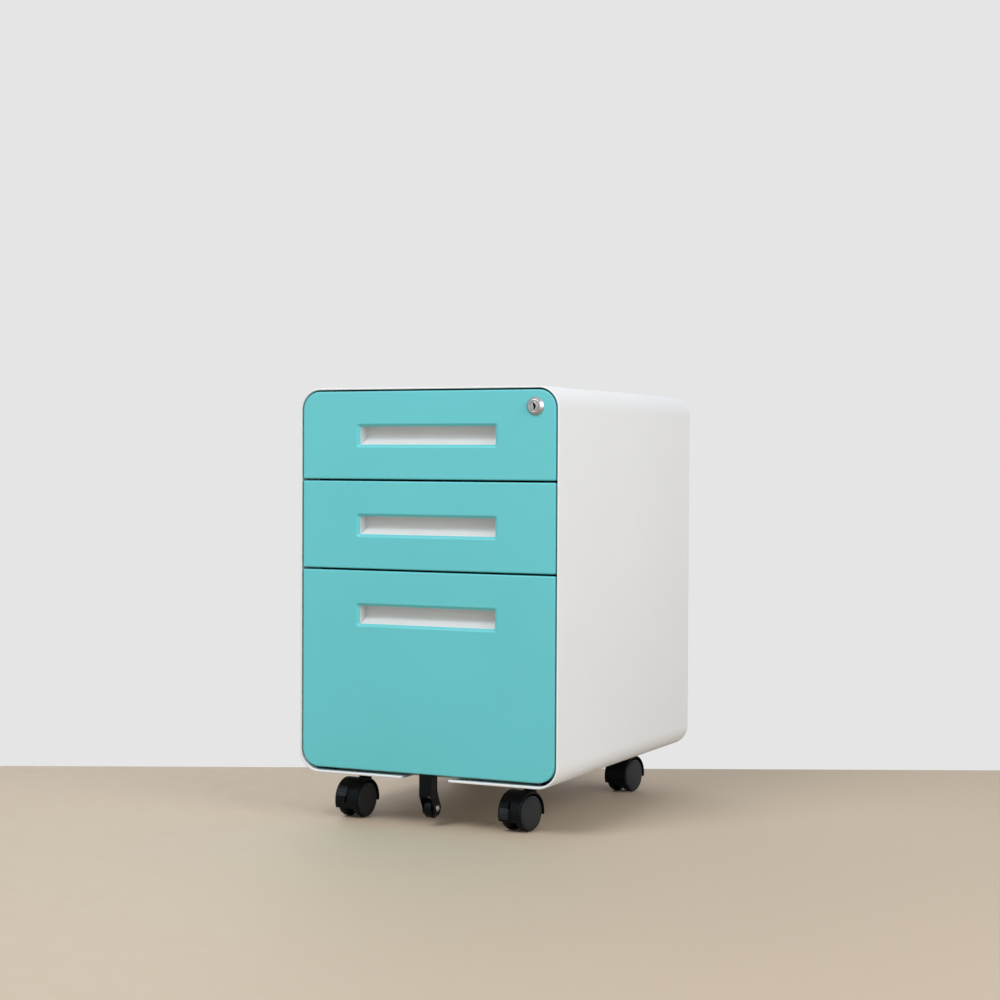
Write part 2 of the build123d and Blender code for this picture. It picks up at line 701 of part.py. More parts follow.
        extrude(amount=tray_x + 1, both=True, mode=Mode.SUBTRACT)
        with BuildSketch(Plane.XZ.offset(-tray_y)):
            with Locations(*ear_screw_places):
                Circle(SCREW_R + HOLE_PLAY)
        extrude(amount=-TRAY_SHEET, mode=Mode.SUBTRACT)
    tray.part.label = f"{d.name}_tray"
    export_step(tray.part, f"parts/{d.name}_tray.step")

    rail_screw_places = [(y, d.slide_z) for y in screw_ys]
    head_x = tray_x - TRAY_SHEET
    with BuildPart() as screws:
        with BuildSketch(Plane.YZ.offset(head_x - SCREW_HEAD)):
            with Locations(*rail_screw_places):
                Circle(SCREW_HEAD_R)
        extrude(amount=SCREW_HEAD)
        with BuildSketch(Plane.YZ.offset(head_x)):
            with Locations(*rail_screw_places):
                Circle(SCREW_R)
        extrude(amount=TRAY_SHEET + RAIL_SHEET + 1)
        mirror(about=Plane.YZ)
        with BuildSketch(Plane.XZ.offset(-tray_y - TRAY_SHEET)):
            with Locations(*ear_screw_places):
                Circle(SCREW_HEAD_R)
        extrude(amount=-SCREW_HEAD)
        with BuildSketch(Plane.XZ.offset(-tray_y - TRAY_SHEET)):
            with Locations(*ear_screw_places):
                Circle(SCREW_R)
        extrude(amount=TRAY_SHEET + FRONT_SHEET + SCREW_END)
        if d.files:
            with BuildSketch(Plane.XY.offset(d.z0 - TIP_SHEET)):
                with Locations(*[(0, y) for y in tip_screw_ys]):
                    Circle(SCREW_HEAD_R)
            extrude(amount=-SCREW_HEAD)
            with BuildSketch(Plane.XY.offset(d.z0 - TIP_SHEET)):
                with Locations(*[(0, y) for y in tip_screw_ys]):
                    Circle(SCREW_R)
            extrude(amount=TIP_SHEET + FRONT_SHEET + SCREW_END)
    screws.part.label = f"{d.name}_drawer_screws"
    export_step(screws.part, f"parts/{d.name}_drawer_screws.step")

# Hanging-file rails: flat bars hooked over the file tray's front and back walls
with BuildPart() as file_rails:
    for side in (-1, 1):
        with BuildSketch(Plane.YZ.offset(side * file_rail_x - FILE_RAIL_SHEET / 2)):
            band(
                tray_y + TRAY_SHEET + 0.2,
                tray_back_y - 2 * TRAY_SHEET - 0.2,
                file_drawer.tray_top - FILE_RAIL_SKIRT,
                file_drawer.tray_top + FILE_RAIL_RISE,
            )
            band(
                tray_y,
                tray_back_y,
                file_drawer.tray_top,
                file_drawer.tray_top + FILE_RAIL_RISE,
            )
        extrude(amount=FILE_RAIL_SHEET)
file_rails.part.label = "hanging_file_rails"
export_step(file_rails.part, "parts/hanging_file_rails.step")

# Lock body: conical bezel on the front, barrel through the panel
lock_axis = Axis((lock_x, front_y, lock_z), (0, -1, 0))
lock_plane = Plane(origin=(lock_x, front_y, lock_z), x_dir=(1, 0, 0), z_dir=(0, 0, 1))
barrel_back = front_y + FRONT_DEPTH - BARREL_SETBACK
with BuildPart() as lock_body:
    with BuildSketch(lock_plane):
        Polygon(
            (PLUG_R + PLUG_PLAY, barrel_back - front_y),
            (BARREL_R, barrel_back - front_y),
            (BARREL_R, 0),
            (BEZEL_R, 0),
            (BEZEL_R, -BEZEL_EDGE),
            (BEZEL_FACE_R + BEZEL_EASE, -BEZEL_HEIGHT + BEZEL_EASE / 2),
            (BEZEL_FACE_R, -BEZEL_HEIGHT),
            (PLUG_R + PLUG_PLAY + BEZEL_EASE, -BEZEL_HEIGHT),
            (PLUG_R + PLUG_PLAY, -BEZEL_HEIGHT + BEZEL_EASE),
        )
    revolve(axis=lock_axis)
lock_body.part.label = "lock_body"
export_step(lock_body.part, "parts/lock_body.step")

# Lock nut: the hexagon ring that clamps the lock to the front
with BuildPart() as lock_nut:
    with BuildSketch(Plane.XZ.offset(-front_y - FRONT_SHEET)):
        with Locations((lock_x, lock_z)):
            RegularPolygon(NUT_R, 6, major_radius=False)
            Circle(BARREL_R + HOLE_PLAY, mode=Mode.SUBTRACT)
    extrude(amount=-NUT_THICKNESS)
lock_nut.part.label = "lock_nut"
export_step(lock_nut.part, "parts/lock_nut.step")

# Lock plug: the turning cylinder with its key slot
plug_front = front_y - BEZEL_HEIGHT + BEZEL_EASE
cam_y = barrel_back + CAM_GAP
with BuildPart() as lock_plug:
    with BuildSketch(Plane.XZ.offset(-cam_y)):
        with Locations((lock_x, lock_z)):
            Circle(PLUG_R)
    extrude(amount=cam_y - plug_front)
    with BuildSketch(Plane.XZ.offset(-plug_front)):
        with Locations((lock_x, lock_z)):
            Rectangle(KEY_SLOT_WIDTH, KEY_SLOT_HEIGHT)
    extrude(amount=-KEY_SLOT_DEPTH, mode=Mode.SUBTRACT)
lock_plug.part.label = "lock_plug"
export_step(lock_plug.part, "parts/lock_plug.step")

# Lock cam: the plate on the back of the plug, with the crank pin that lifts the bar
with BuildPart() as lock_cam:
    with BuildSketch(Plane.XZ.offset(-cam_y)):
        Polygon(
            (lock_x - CAM_ROOT, lock_z - CAM_ROOT),
            (pin_x - CAM_TIP, pin_z - CAM_TIP),
            (pin_x + CAM_TIP, pin_z + CAM_TIP),
            (lock_x + CAM_ROOT, lock_z + CAM_ROOT),
        )
        with Locations((lock_x, lock_z)):
            Circle(PLUG_R - 1)
        with Locations((pin_x, pin_z)):
            Circle(CRANK_PIN_R + CAM_EYE)
    extrude(amount=-CAM_SHEET)
    with BuildSketch(Plane.XZ.offset(-cam_y - CAM_SHEET)):
        with Locations((pin_x, pin_z)):
            Circle(CRANK_PIN_R)
    extrude(amount=-(bar_y + BAR_SHEET + 1.0 - cam_y - CAM_SHEET))
lock_cam.part.label = "lock_cam"
export_step(lock_cam.part, "parts/lock_cam.step")

# Anti-tip bracket: a bent channel under the file front, its cheeks swept back to the axle
tip_top = file_drawer.z0
with BuildPart() as tip_bracket:
    for side in (-1, 1):
        with BuildSketch(Plane.YZ.offset(side * TIP_WIDTH / 2)):
            Polygon(
                (tip_y0, tip_top),
                (tip_y0, tip_top - TIP_WEB),
                (tip_axle_y - TIP_END_R, TIP_AXLE_Z + 1),
                (tip_axle_y, TIP_AXLE_Z - 2),
                (tip_axle_y + TIP_END_R, TIP_AXLE_Z + 1),
                (tip_y1, tip_top - TIP_WEB + 6),
                (tip_y1, tip_top),
            )
            with Locations((tip_axle_y, TIP_AXLE_Z)):
                Circle(TIP_END_R)
                Circle(TIP_AXLE_R + HOLE_PLAY, mode=Mode.SUBTRACT)
        extrude(amount=-side * TIP_SHEET)
    with BuildSketch(Plane.XZ.offset(-tip_y0)):
        band(-TIP_WIDTH / 2, TIP_WIDTH / 2, tip_top - TIP_WEB, tip_top)
    extrude(amount=-TIP_SHEET)
    with BuildSketch(Plane.XY.offset(tip_top)):
        band(-TIP_WIDTH / 2, TIP_WIDTH / 2, tip_y0, tip_y1)
        with Locations(*[(0, y) for y in tip_screw_ys]):
            Circle(SCREW_R + HOLE_PLAY, mode=Mode.SUBTRACT)
    extrude(amount=-TIP_SHEET)
tip_bracket.part.label = "anti_tip_bracket"
export_step(tip_bracket.part, "parts/anti_tip_bracket.step")

# Anti-tip axle: a rivet headed outside both cheeks
with BuildPart() as tip_axle:
    with BuildSketch(Plane.YZ):
        with Locations((tip_axle_y, TIP_AXLE_Z)):
            Circle(TIP_AXLE_R)
    extrude(amount=TIP_WIDTH / 2, both=True)
    for side in (-1, 1):
        with BuildSketch(Plane.YZ.offset(side * TIP_WIDTH / 2)):
            with Locations((tip_axle_y, TIP_AXLE_Z)):
                Circle(TIP_AXLE_HEAD_R)
        extrude(amount=side * TIP_AXLE_HEAD)
tip_axle.part.label = "anti_tip_axle"
export_step(tip_axle.part, "parts/anti_tip_axle.step")

# Anti-tip wheel: a small roller with a hub on each side
tip_wheel_plane = Plane(origin=(0, tip_axle_y, TIP_AXLE_Z), x_dir=(1, 0, 0), z_dir=(0, -1, 0))
with BuildPart() as tip_wheel:
    hub_w = TIP_WIDTH / 2 - TIP_SHEET - TIP_HUB_PLAY
    rim_w = TIP_WHEEL_WIDTH / 2
    with BuildSketch(tip_wheel_plane):
        Polygon(
            (-hub_w, TIP_AXLE_R + RUN_PLAY),
            (hub_w, TIP_AXLE_R + RUN_PLAY),
            (hub_w, TIP_HUB_R),
            (rim_w, TIP_HUB_R),
            (rim_w, TIP_WHEEL_R - TIP_WHEEL_EDGE),
            (rim_w - TIP_WHEEL_EDGE, TIP_WHEEL_R),
            (TIP_WHEEL_EDGE - rim_w, TIP_WHEEL_R),
            (-rim_w, TIP_WHEEL_R - TIP_WHEEL_EDGE),
            (-rim_w, TIP_HUB_R),
            (-hub_w, TIP_HUB_R),
        )
    revolve(axis=Axis((0, tip_axle_y, TIP_AXLE_Z), (1, 0, 0)))
tip_wheel.part.label = "anti_tip_wheel"
export_step(tip_wheel.part, "parts/anti_tip_wheel.step")

# Caster stems: pin for the hood, collar against the case, thread through the channel
collar_z = case_bottom - COLLAR_HEIGHT
boss_top = collar_z - BOSS_PLAY
well_top = ((WHEEL_R + HOOD_GAP) ** 2 - (STEM_TRAIL - STEM_R - STEM_END_PLAY) ** 2) ** 0.5
stem_foot = WHEEL_R + well_top + STEM_FOOT_WALL
nut_top = floor_z + CHANNEL_HEIGHT - CHANNEL_SHEET
with BuildPart() as caster_stems:
    with BuildSketch(Plane.XY.offset(stem_foot + STEM_END_PLAY)):
        with Locations(*stem_places):
            Circle(STEM_R)
    extrude(amount=nut_top + 1 - stem_foot)
    with BuildSketch(Plane.XY.offset(collar_z)):
        with Locations(*stem_places):
            Circle(COLLAR_R)
    extrude(amount=COLLAR_HEIGHT)
caster_stems.part.label = "caster_stems"
export_step(caster_stems.part, "parts/caster_stems.step")

# Caster nuts: one on each stem, under the channel's web
with BuildPart() as caster_nuts:
    with BuildSketch(Plane.XY.offset(nut_top)):
        with Locations(*stem_places):
            RegularPolygon(STEM_R + STEM_NUT_WALL, 6, major_radius=False)
        with Locations(*stem_places):
            Circle(STEM_R + HOLE_PLAY, mode=Mode.SUBTRACT)
    extrude(amount=-STEM_NUT_HEIGHT)
caster_nuts.part.label = "caster_nuts"
export_step(caster_nuts.part, "parts/caster_nuts.step")

# Casters: hood, axle, two wheels, and a brake lever on the front pair
hood_r = WHEEL_R + HOOD_GAP + HOOD_WALL
Caster = namedtuple("Caster", "name x y turn lever")
casters = (
    Caster("front_left", -stem_x, stem_front_y, -5.0, LEVER_UP),
    Caster("front_right", stem_x, stem_front_y, -12.0, LEVER_DOWN),
    Caster("rear_left", -stem_x, stem_back_y, -16.0, None),
    Caster("rear_right", stem_x, stem_back_y, -8.5, None),
)
for c in casters:
    along = (cos(radians(c.turn)), sin(radians(c.turn)), 0)
    behind = (-along[1], along[0], 0)
    hub = (c.x - STEM_TRAIL * behind[0], c.y - STEM_TRAIL * behind[1], WHEEL_R)
    side_plane = Plane(origin=hub, x_dir=behind, z_dir=along)
    with BuildPart() as hood:
        with BuildSketch(side_plane):
            with BuildLine():
                rim = CenterArc((0, 0), hood_r, HOOD_BACK_END, HOOD_FRONT_END - HOOD_BACK_END)
                Line(rim @ 1, (-HOOD_KEEL_HALF, -HOOD_KEEL))
                Line((-HOOD_KEEL_HALF, -HOOD_KEEL), (HOOD_KEEL_HALF, -HOOD_KEEL))
                Line((HOOD_KEEL_HALF, -HOOD_KEEL), rim @ 0)
            make_face()
        extrude(amount=HOOD_WIDTH / 2, both=True)
        fillet(hood.edges().filter_by(GeomType.CIRCLE), HOOD_EDGE_R)
        with BuildSketch(Plane.XY.offset(WHEEL_R)):
            with Locations((c.x, c.y)):
                Circle(BOSS_R)
        extrude(amount=boss_top - WHEEL_R)
        for side in (-1, 1):
            with BuildSketch(side_plane.offset(side * WEB_THICKNESS / 2)):
                Circle(WHEEL_R + HOOD_GAP)
            extrude(amount=side * HOOD_WIDTH, mode=Mode.SUBTRACT)
        with BuildSketch(Plane.XY.offset(stem_foot)):
            with Locations((c.x, c.y)):
                Circle(STEM_R + RUN_PLAY)
        extrude(amount=boss_top - stem_foot, mode=Mode.SUBTRACT)
        with BuildSketch(side_plane):
            Circle(AXLE_R + HOLE_PLAY / 2)
        extrude(amount=HOOD_WIDTH, both=True, mode=Mode.SUBTRACT)
        if c.lever:
            with BuildSketch(side_plane):
                Circle(AXLE_R + LEVER_HUB + LEVER_PLAY)
                reach = hood_r + 6
                Polygon(
                    (0, 0),
                    (reach * cos(radians(LEVER_UP)), reach * sin(radians(LEVER_UP))),
                    (reach * cos(radians(LEVER_DOWN)), reach * sin(radians(LEVER_DOWN))),
                )
                for angle in (LEVER_UP, LEVER_DOWN):
                    with PolarLocations(0, 1, start_angle=angle):
                        with Locations((reach / 2, 0)):
                            Rectangle(reach, LEVER_ARM + 2 * LEVER_PLAY)
            extrude(amount=LEVER_SHEET / 2 + LEVER_PLAY, both=True, mode=Mode.SUBTRACT)
    hood.part.label = f"{c.name}_caster_hood"
    export_step(hood.part, f"parts/{c.name}_caster_hood.step")

    with BuildPart() as axle:
        with BuildSketch(side_plane):
            Circle(AXLE_R)
        extrude(amount=WHEEL_FACE - WHEEL_HUB_WALL - RUN_PLAY, both=True)
    axle.part.label = f"{c.name}_axle"
    export_step(axle.part, f"parts/{c.name}_axle.step")

    for name, side in (("left", -1), ("right", 1)):
        inner_w = WEB_THICKNESS / 2 + WEB_PLAY
        tread_end = WHEEL_R - 1.1 * WHEEL_EDGE_R
        wheel_plane = Plane(
            origin=hub,
            x_dir=(side * along[0], side * along[1], 0),
            z_dir=(-side * behind[0], -side * behind[1], 0),
        )
        with BuildPart() as wheel:
            with BuildSketch(wheel_plane) as wheel_section:
                Polygon(
                    (inner_w, AXLE_R + RUN_PLAY),
                    (inner_w, WHEEL_R),
                    (WHEEL_FACE, WHEEL_R),
                    (WHEEL_FACE, tread_end),
                    (WHEEL_FACE - WHEEL_GROOVE, tread_end - WHEEL_GROOVE / 2),
                    (WHEEL_FACE, tread_end - WHEEL_GROOVE),
                    (WHEEL_DOME, WHEEL_R / 5),
                    (WHEEL_DOME, 0),
                    (WHEEL_FACE - WHEEL_HUB_WALL, 0),
                    (WHEEL_FACE - WHEEL_HUB_WALL, AXLE_R + RUN_PLAY),
                )
                corners = wheel_section.vertices().sort_by(Axis.Y)[-2:]
                fillet(corners, WHEEL_EDGE_R)
            revolve(axis=Axis(hub, along))
        wheel.part.label = f"{c.name}_{name}_wheel"
        export_step(wheel.part, f"parts/{c.name}_{name}_wheel.step")

    if c.lever:
        pad_0 = hood_r + LEVER_PAD_GAP
        pad_1 = pad_0 + LEVER_PAD
        with BuildPart() as lever:
            with BuildSketch(side_plane):
                Circle(AXLE_R + LEVER_HUB)
                with PolarLocations(0, 1, start_angle=c.lever):
                    with Locations(((pad_0 + 1) / 2, 0)):
                        Rectangle(pad_0 + 1, LEVER_ARM)
                Circle(AXLE_R + RUN_PLAY, mode=Mode.SUBTRACT)
            extrude(amount=LEVER_SHEET / 2, both=True)
            with BuildSketch(side_plane.offset(LEVER_SHEET / 2)):
                with BuildLine():
                    pad_start = c.lever - LEVER_PAD_ANGLE
                    pad_in = CenterArc((0, 0), pad_0, pad_start, 2 * LEVER_PAD_ANGLE)
                    pad_out = CenterArc((0, 0), pad_1, pad_start, 2 * LEVER_PAD_ANGLE)
                    Line(pad_in @ 0, pad_out @ 0)
                    Line(pad_in @ 1, pad_out @ 1)
                make_face()
            extrude(amount=-LEVER_PAD_WIDTH)
            ridge_start = c.lever - 1.5 * LEVER_RIDGE_STEP
            with BuildSketch(side_plane.offset(LEVER_SHEET / 2)):
                with PolarLocations(
                    pad_1, 4, start_angle=ridge_start, angular_range=3 * LEVER_RIDGE_STEP, endpoint=True
                ):
                    Rectangle(LEVER_RIDGE, LEVER_RIDGE)
            extrude(amount=-LEVER_PAD_WIDTH, mode=Mode.SUBTRACT)
        lever.part.label = f"{c.name}_brake_lever"
        export_step(lever.part, f"parts/{c.name}_brake_lever.step")
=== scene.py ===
from math import asin, cos, degrees, pi, radians, sin, tan

import bmesh
import bpy
from mathutils import Matrix, Vector


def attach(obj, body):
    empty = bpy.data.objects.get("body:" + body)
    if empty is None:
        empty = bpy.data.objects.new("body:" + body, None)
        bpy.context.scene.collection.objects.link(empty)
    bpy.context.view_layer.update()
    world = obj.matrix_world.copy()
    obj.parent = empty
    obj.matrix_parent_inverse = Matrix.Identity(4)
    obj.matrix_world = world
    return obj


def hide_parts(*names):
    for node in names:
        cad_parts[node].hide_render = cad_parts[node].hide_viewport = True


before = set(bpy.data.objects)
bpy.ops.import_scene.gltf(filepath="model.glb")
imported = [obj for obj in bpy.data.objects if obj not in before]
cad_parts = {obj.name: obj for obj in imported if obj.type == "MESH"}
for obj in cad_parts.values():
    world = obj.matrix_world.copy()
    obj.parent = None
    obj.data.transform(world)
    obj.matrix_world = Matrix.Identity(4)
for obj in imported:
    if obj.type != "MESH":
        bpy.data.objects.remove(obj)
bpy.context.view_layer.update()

# Case: one steel sheet wrapped round top, sides and floor, its front edge folded back as a hem.
# It is powder coated white, with a fine even orange peel, and the front of its floor is notched
# so that the file drawer's small wheel can pass.
mm = 0.001
NEAR = 1e-6
CASE_HALF = 197 * mm
CASE_LOW = 65 * mm
CASE_HIGH = 600 * mm
CASE_FRONT = -250 * mm
CASE_BACK = 250 * mm
CASE_CORNER = 30 * mm
CASE_SHEET = 1.2 * mm
HEM = 2.4 * mm
HEM_DEPTH = 14 * mm
HEM_STEPS = 8
FLOOR_LIP = 3.5 * mm
NOTCH_HALF = 36 * mm
NOTCH_DEPTH = 36 * mm
CUT_EDGE = 0.3 * mm
WHITE = (0.774, 0.796, 0.821, 1)
COAT_RELIEF = 0.05 * mm
GRAIN_SHARE = 0.35
PEEL_GLOSS = 0.05
NOISE_SPAN = (0.3, 0.7)
BUMP_STRENGTH = 0.6
EASED_TURN = 40
SHARP_TURN = 50


def feed(tree, node, *values, **named):
    """Fill a node by position or by name: a socket is linked, and any other value is set."""
    for key, value in [*named.items(), *enumerate(values)]:
        if isinstance(key, str):
            if hasattr(node, key):
                setattr(node, key, value)
                continue
            key = key.replace("_", " ")
        if isinstance(value, bpy.types.NodeSocket):
            tree.links.new(value, node.inputs[key])
        else:
            node.inputs[key].default_value = value
    return node


def add(tree, kind, *values, **named):
    """Put a node into a tree and fill it."""
    return feed(tree, tree.nodes.new(kind), *values, **named)


def reckon(tree, operation, *values):
    """One sum inside a tree, of sockets or numbers."""
    return add(tree, "ShaderNodeMath", *values, operation=operation).outputs[0]


def spread(tree, value, low, high, onto_low, onto_high):
    """Map a value's range onto another one inside a tree."""
    made = add(
        tree, "ShaderNodeMapRange", Value=value,
        From_Min=low, From_Max=high, To_Min=onto_low, To_Max=onto_high,
    )
    return made.outputs["Result"]


def effect(name, **takes):
    """Start a shader group that turns a place and some named values into a surface.

    Returns the group, the sockets of its inputs and the node that its results go to.
    """
    group = bpy.data.node_groups.new(name, "ShaderNodeTree")
    number, colour = "NodeSocketFloat", "NodeSocketColor"
    group.interface.new_socket("Place", in_out="INPUT", socket_type="NodeSocketVector")
    for label, value in takes.items():
        made = group.interface.new_socket(
            label.replace("_", " "), in_out="INPUT",
            socket_type=number if isinstance(value, float) else colour,
        )
        made.default_value = value
    for label, kind in (("Colour", colour), ("Roughness", number), ("Height", number)):
        group.interface.new_socket(label, in_out="OUTPUT", socket_type=kind)
    return group, group.nodes.new("NodeGroupInput").outputs, group.nodes.new("NodeGroupOutput")


def noise(group, takes, scale, **named):
    """The strength of a noise at the group's place."""
    made = add(group, "ShaderNodeTexNoise", Vector=takes["Place"], Scale=scale, **named)
    return made.outputs["Fac"]


def toned(group, colour, by):
    """A colour made lighter or darker inside a group."""
    return add(group, "ShaderNodeVectorMath", colour, operation="SCALE", Scale=by).outputs[0]


def drifted(group, takes, tone_noise, gloss_noise, gloss_swing):
    """Colour and roughness that wander with two noises, by the group's Tone Drift and by a swing."""
    tone = spread(group, tone_noise, *NOISE_SPAN, -1, 1)
    tone = reckon(group, "MULTIPLY_ADD", tone, takes["Tone Drift"], 1.0)
    gloss = spread(group, gloss_noise, *NOISE_SPAN, -gloss_swing, gloss_swing)
    return {
        "Colour": toned(group, takes["Colour"], tone),
        "Roughness": reckon(group, "ADD", takes["Gloss Roughness"], gloss),
    }


# the coat's peel, its finer grain and the slow drift of its tone
coat_group, coat_takes, coat_end = effect(
    "powder_coat", Colour=(0.8, 0.8, 0.8, 1), Gloss_Roughness=0.42, Tone_Drift=0.02, Peel_Scale=620.0
)
peel = noise(coat_group, coat_takes, coat_takes["Peel Scale"], Detail=2.0, Roughness=0.5)
grain = noise(coat_group, coat_takes, 2600.0, Detail=1.0)
drift = noise(coat_group, coat_takes, 7.0, Detail=3.0, Roughness=0.55)
feed(
    coat_group, coat_end, **drifted(coat_group, coat_takes, drift, peel, PEEL_GLOSS),
    Height=reckon(coat_group, "MULTIPLY_ADD", grain, GRAIN_SHARE, peel),
)


def finish(name, group, relief, values, centre=(0, 0, 0), **shader):
    """A material whose colour, roughness and relief come from one shader group, about a centre."""
    made = bpy.data.materials.new(name)
    made.use_nodes = True
    tree = made.node_tree
    place = add(tree, "ShaderNodeTexCoord").outputs["Object"]
    if any(centre):
        moved = add(tree, "ShaderNodeMapping", Vector=place, Location=[-n for n in centre])
        place = moved.outputs["Vector"]
    surface = add(tree, "ShaderNodeGroup", node_tree=group, Place=place, **values).outputs
    bump = add(
        tree, "ShaderNodeBump", Strength=BUMP_STRENGTH, Distance=relief, Height=surface["Height"]
    )
    feed(
        tree, tree.nodes["Principled BSDF"], Base_Color=surface["Colour"],
        Roughness=surface["Roughness"], Normal=bump.outputs["Normal"], **shader,
    )
    return made


white_coat = finish(
    "white_coat", coat_group, COAT_RELIEF,
    {"Colour": WHITE, "Gloss Roughness": 0.46, "Tone Drift": 0.012}, Specular_IOR_Level=0.4,
)


def shown(name, data):
    """An object in the scene."""
    made = bpy.data.objects.new(name, data)
    bpy.context.collection.objects.link(made)
    return made


def coated(name, bm, coat):
    """An object from a mesh, with one finish."""
    mesh = bpy.data.meshes.new(name)
    bm.to_mesh(mesh)
    bm.free()
    mesh.materials.append(coat)
    return shown(name, mesh)


def settle(made):
    """Turn a piece's modifiers into plain mesh."""
    deps = bpy.context.evaluated_depsgraph_get()
    mesh = bpy.data.meshes.new_from_object(made.evaluated_get(deps), depsgraph=deps)
    made.modifiers.clear()
    made.data = mesh


def shade(made, turn):
    """Smooth shading, broken at the edges that turn further than an angle."""
    made.data.shade_smooth()
    made.data.set_sharp_from_angle(angle=radians(turn))


def seat(made, body, nodes):
    """Put a finished piece on its body and the nodes that it stands for."""
    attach(made, body)
    if nodes:
        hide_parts(*nodes)


def piece(name, bm, coat, body, slot, nodes=(), sheet=0.0, edge=0.0, rounds=2, inside=None):
    """Finish a mesh as one piece on its body: sheet thickness, eased edges and even shading.

    Faces marked 1 in the mesh take the finish given as inside.
    """
    if not sheet:
        bmesh.ops.recalc_face_normals(bm, faces=bm.faces)
    made = coated(name, bm, coat)
    if inside:
        made.data.materials.append(inside)
    if sheet:
        wall = made.modifiers.new("sheet", "SOLIDIFY")
        wall.thickness = sheet
        wall.offset = -1
        wall.use_even_offset = True
    if edge:
        eased = made.modifiers.new("eased", "BEVEL")
        eased.width = edge
        eased.segments = rounds
        eased.limit_method = "ANGLE"
        eased.angle_limit = radians(EASED_TURN)
    if sheet or edge:
        settle(made)
    shade(made, SHARP_TURN)
    even = made.modifiers.new("even", "WEIGHTED_NORMAL")
    even.keep_sharp = True
    settle(made)
    seat(made, body, nodes)


def arc(steps, turn=pi / 2):
    """Angles from 0 to a turn, in even steps."""
    return [turn * i / steps for i in range(steps + 1)]


def outline(half, low, high, low_corner, high_corner, steps=14, stops=()):
    """Points round a rounded rectangle seen from the front, with extra stops along its foot."""
    points = [(x, low) for x in stops]
    for x, z, r, start in (
        (half - low_corner, low + low_corner, low_corner, -90),
        (half - high_corner, high - high_corner, high_corner, 0),
        (high_corner - half, high - high_corner, high_corner, 90),
        (low_corner - half, low + low_corner, low_corner, 180),
    ):
        for i in range(steps + 1):
            a = radians(start + 90 * i / steps)
            points.append((x + r * cos(a), z + r * sin(a)))
    return points


def ring(bm, points, y):
    """A ring of vertices from outline points at one depth."""
    return [bm.verts.new((x, y, z)) for x, z in points]


def skin(bm, rings):
    """Faces between each ring and the next."""
    for a, b in zip(rings, rings[1:]):
        for i in range(len(a)):
            j = (i + 1) % len(a)
            bm.faces.new((a[i], a[j], b[j], b[i]))


def case_run():
    """How the sheet runs from the back edge to the hem and back inside: (inset, depth, hemmed)."""
    bead = HEM / 2
    hem_end = CASE_FRONT + HEM_DEPTH
    run = [(CUT_EDGE, CASE_BACK, 0), (0, CASE_BACK - CUT_EDGE, 0)]
    run += [(0, CASE_FRONT + NOTCH_DEPTH, 0), (0, hem_end, 1)]
    for a in arc(HEM_STEPS, pi):
        run.append((bead - bead * cos(a), CASE_FRONT + bead - bead * sin(a), 1))
    run += [(HEM, hem_end - CUT_EDGE, 1), (HEM - CUT_EDGE, hem_end, 1)]
    run += [(CASE_SHEET, hem_end, 0), (CASE_SHEET, CASE_FRONT + NOTCH_DEPTH, 0)]
    run += [(CASE_SHEET, CASE_BACK - CUT_EDGE, 0), (CASE_SHEET - CUT_EDGE, CASE_BACK, 0)]
    return run


def case_ring(bm, inset, foot, y, stops=()):
    """A ring of the case's outline at one depth, drawn in by an inset and at its foot by another."""
    corner = CASE_CORNER - inset
    points = outline(
        CASE_HALF - inset, CASE_LOW + foot, CASE_HIGH - inset, corner, corner, stops=stops
    )
    return ring(bm, points, y)


case_mesh = bmesh.new()
case_rings = []
for inset, y, hemmed in case_run():
    foot = inset * FLOOR_LIP / HEM if hemmed else inset
    case_rings.append(case_ring(case_mesh, inset, foot, y, stops=(-NOTCH_HALF, NOTCH_HALF)))
skin(case_mesh, case_rings + case_rings[:1])

# the notch: its faces go, and the cut edges of the sheet are closed
notch_y = CASE_FRONT + NOTCH_DEPTH
notch_top = CASE_LOW + 2 * FLOOR_LIP
notched = [
    face for face in case_mesh.faces
    if all(
        abs(v.co.x) < NOTCH_HALF + NEAR and v.co.z < notch_top and v.co.y < notch_y + NEAR
        for v in face.verts
    )
]
bmesh.ops.delete(case_mesh, geom=notched, context="FACES_ONLY")
at_notch = [k for k, r in enumerate(case_rings) if abs(r[0].co.y - notch_y) < NEAR]
first, last = at_notch[0], at_notch[-1]
outer, inner = case_rings[first], case_rings[last]
case_mesh.faces.new([r[0] for r in case_rings[first : last + 1]])
case_mesh.faces.new([r[1] for r in reversed(case_rings[first : last + 1])])
case_mesh.faces.new([outer[0], inner[0], inner[1], outer[1]])
for left_over, context in ((case_mesh.edges, "EDGES"), (case_mesh.verts, "VERTS")):
    loose = [part for part in left_over if not part.link_faces]
    bmesh.ops.delete(case_mesh, geom=loose, context=context)
piece("case_shell_coated", case_mesh, white_coat, "cabinet", "white_coat", ["case_shell"])

# Back panel: a shallow pan of thinner sheet, folded all round and spot welded into the open back.
# Its face lies flush with the end of the case and has the same white coat.
BACK_PLAY = 0.2 * mm
BACK_FLANGE = 12 * mm
BACK_SHEET = 1.0 * mm
BACK_BEND = 2.0 * mm
BACK_BEND_STEPS = 5


def face_out(bm, way):
    """Turn all faces of an open sheet so that its broadest one looks the given way."""
    bmesh.ops.recalc_face_normals(bm, faces=bm.faces)
    if max(bm.faces, key=lambda f: f.calc_area()).normal.dot(way) < 0:
        bmesh.ops.reverse_faces(bm, faces=bm.faces)


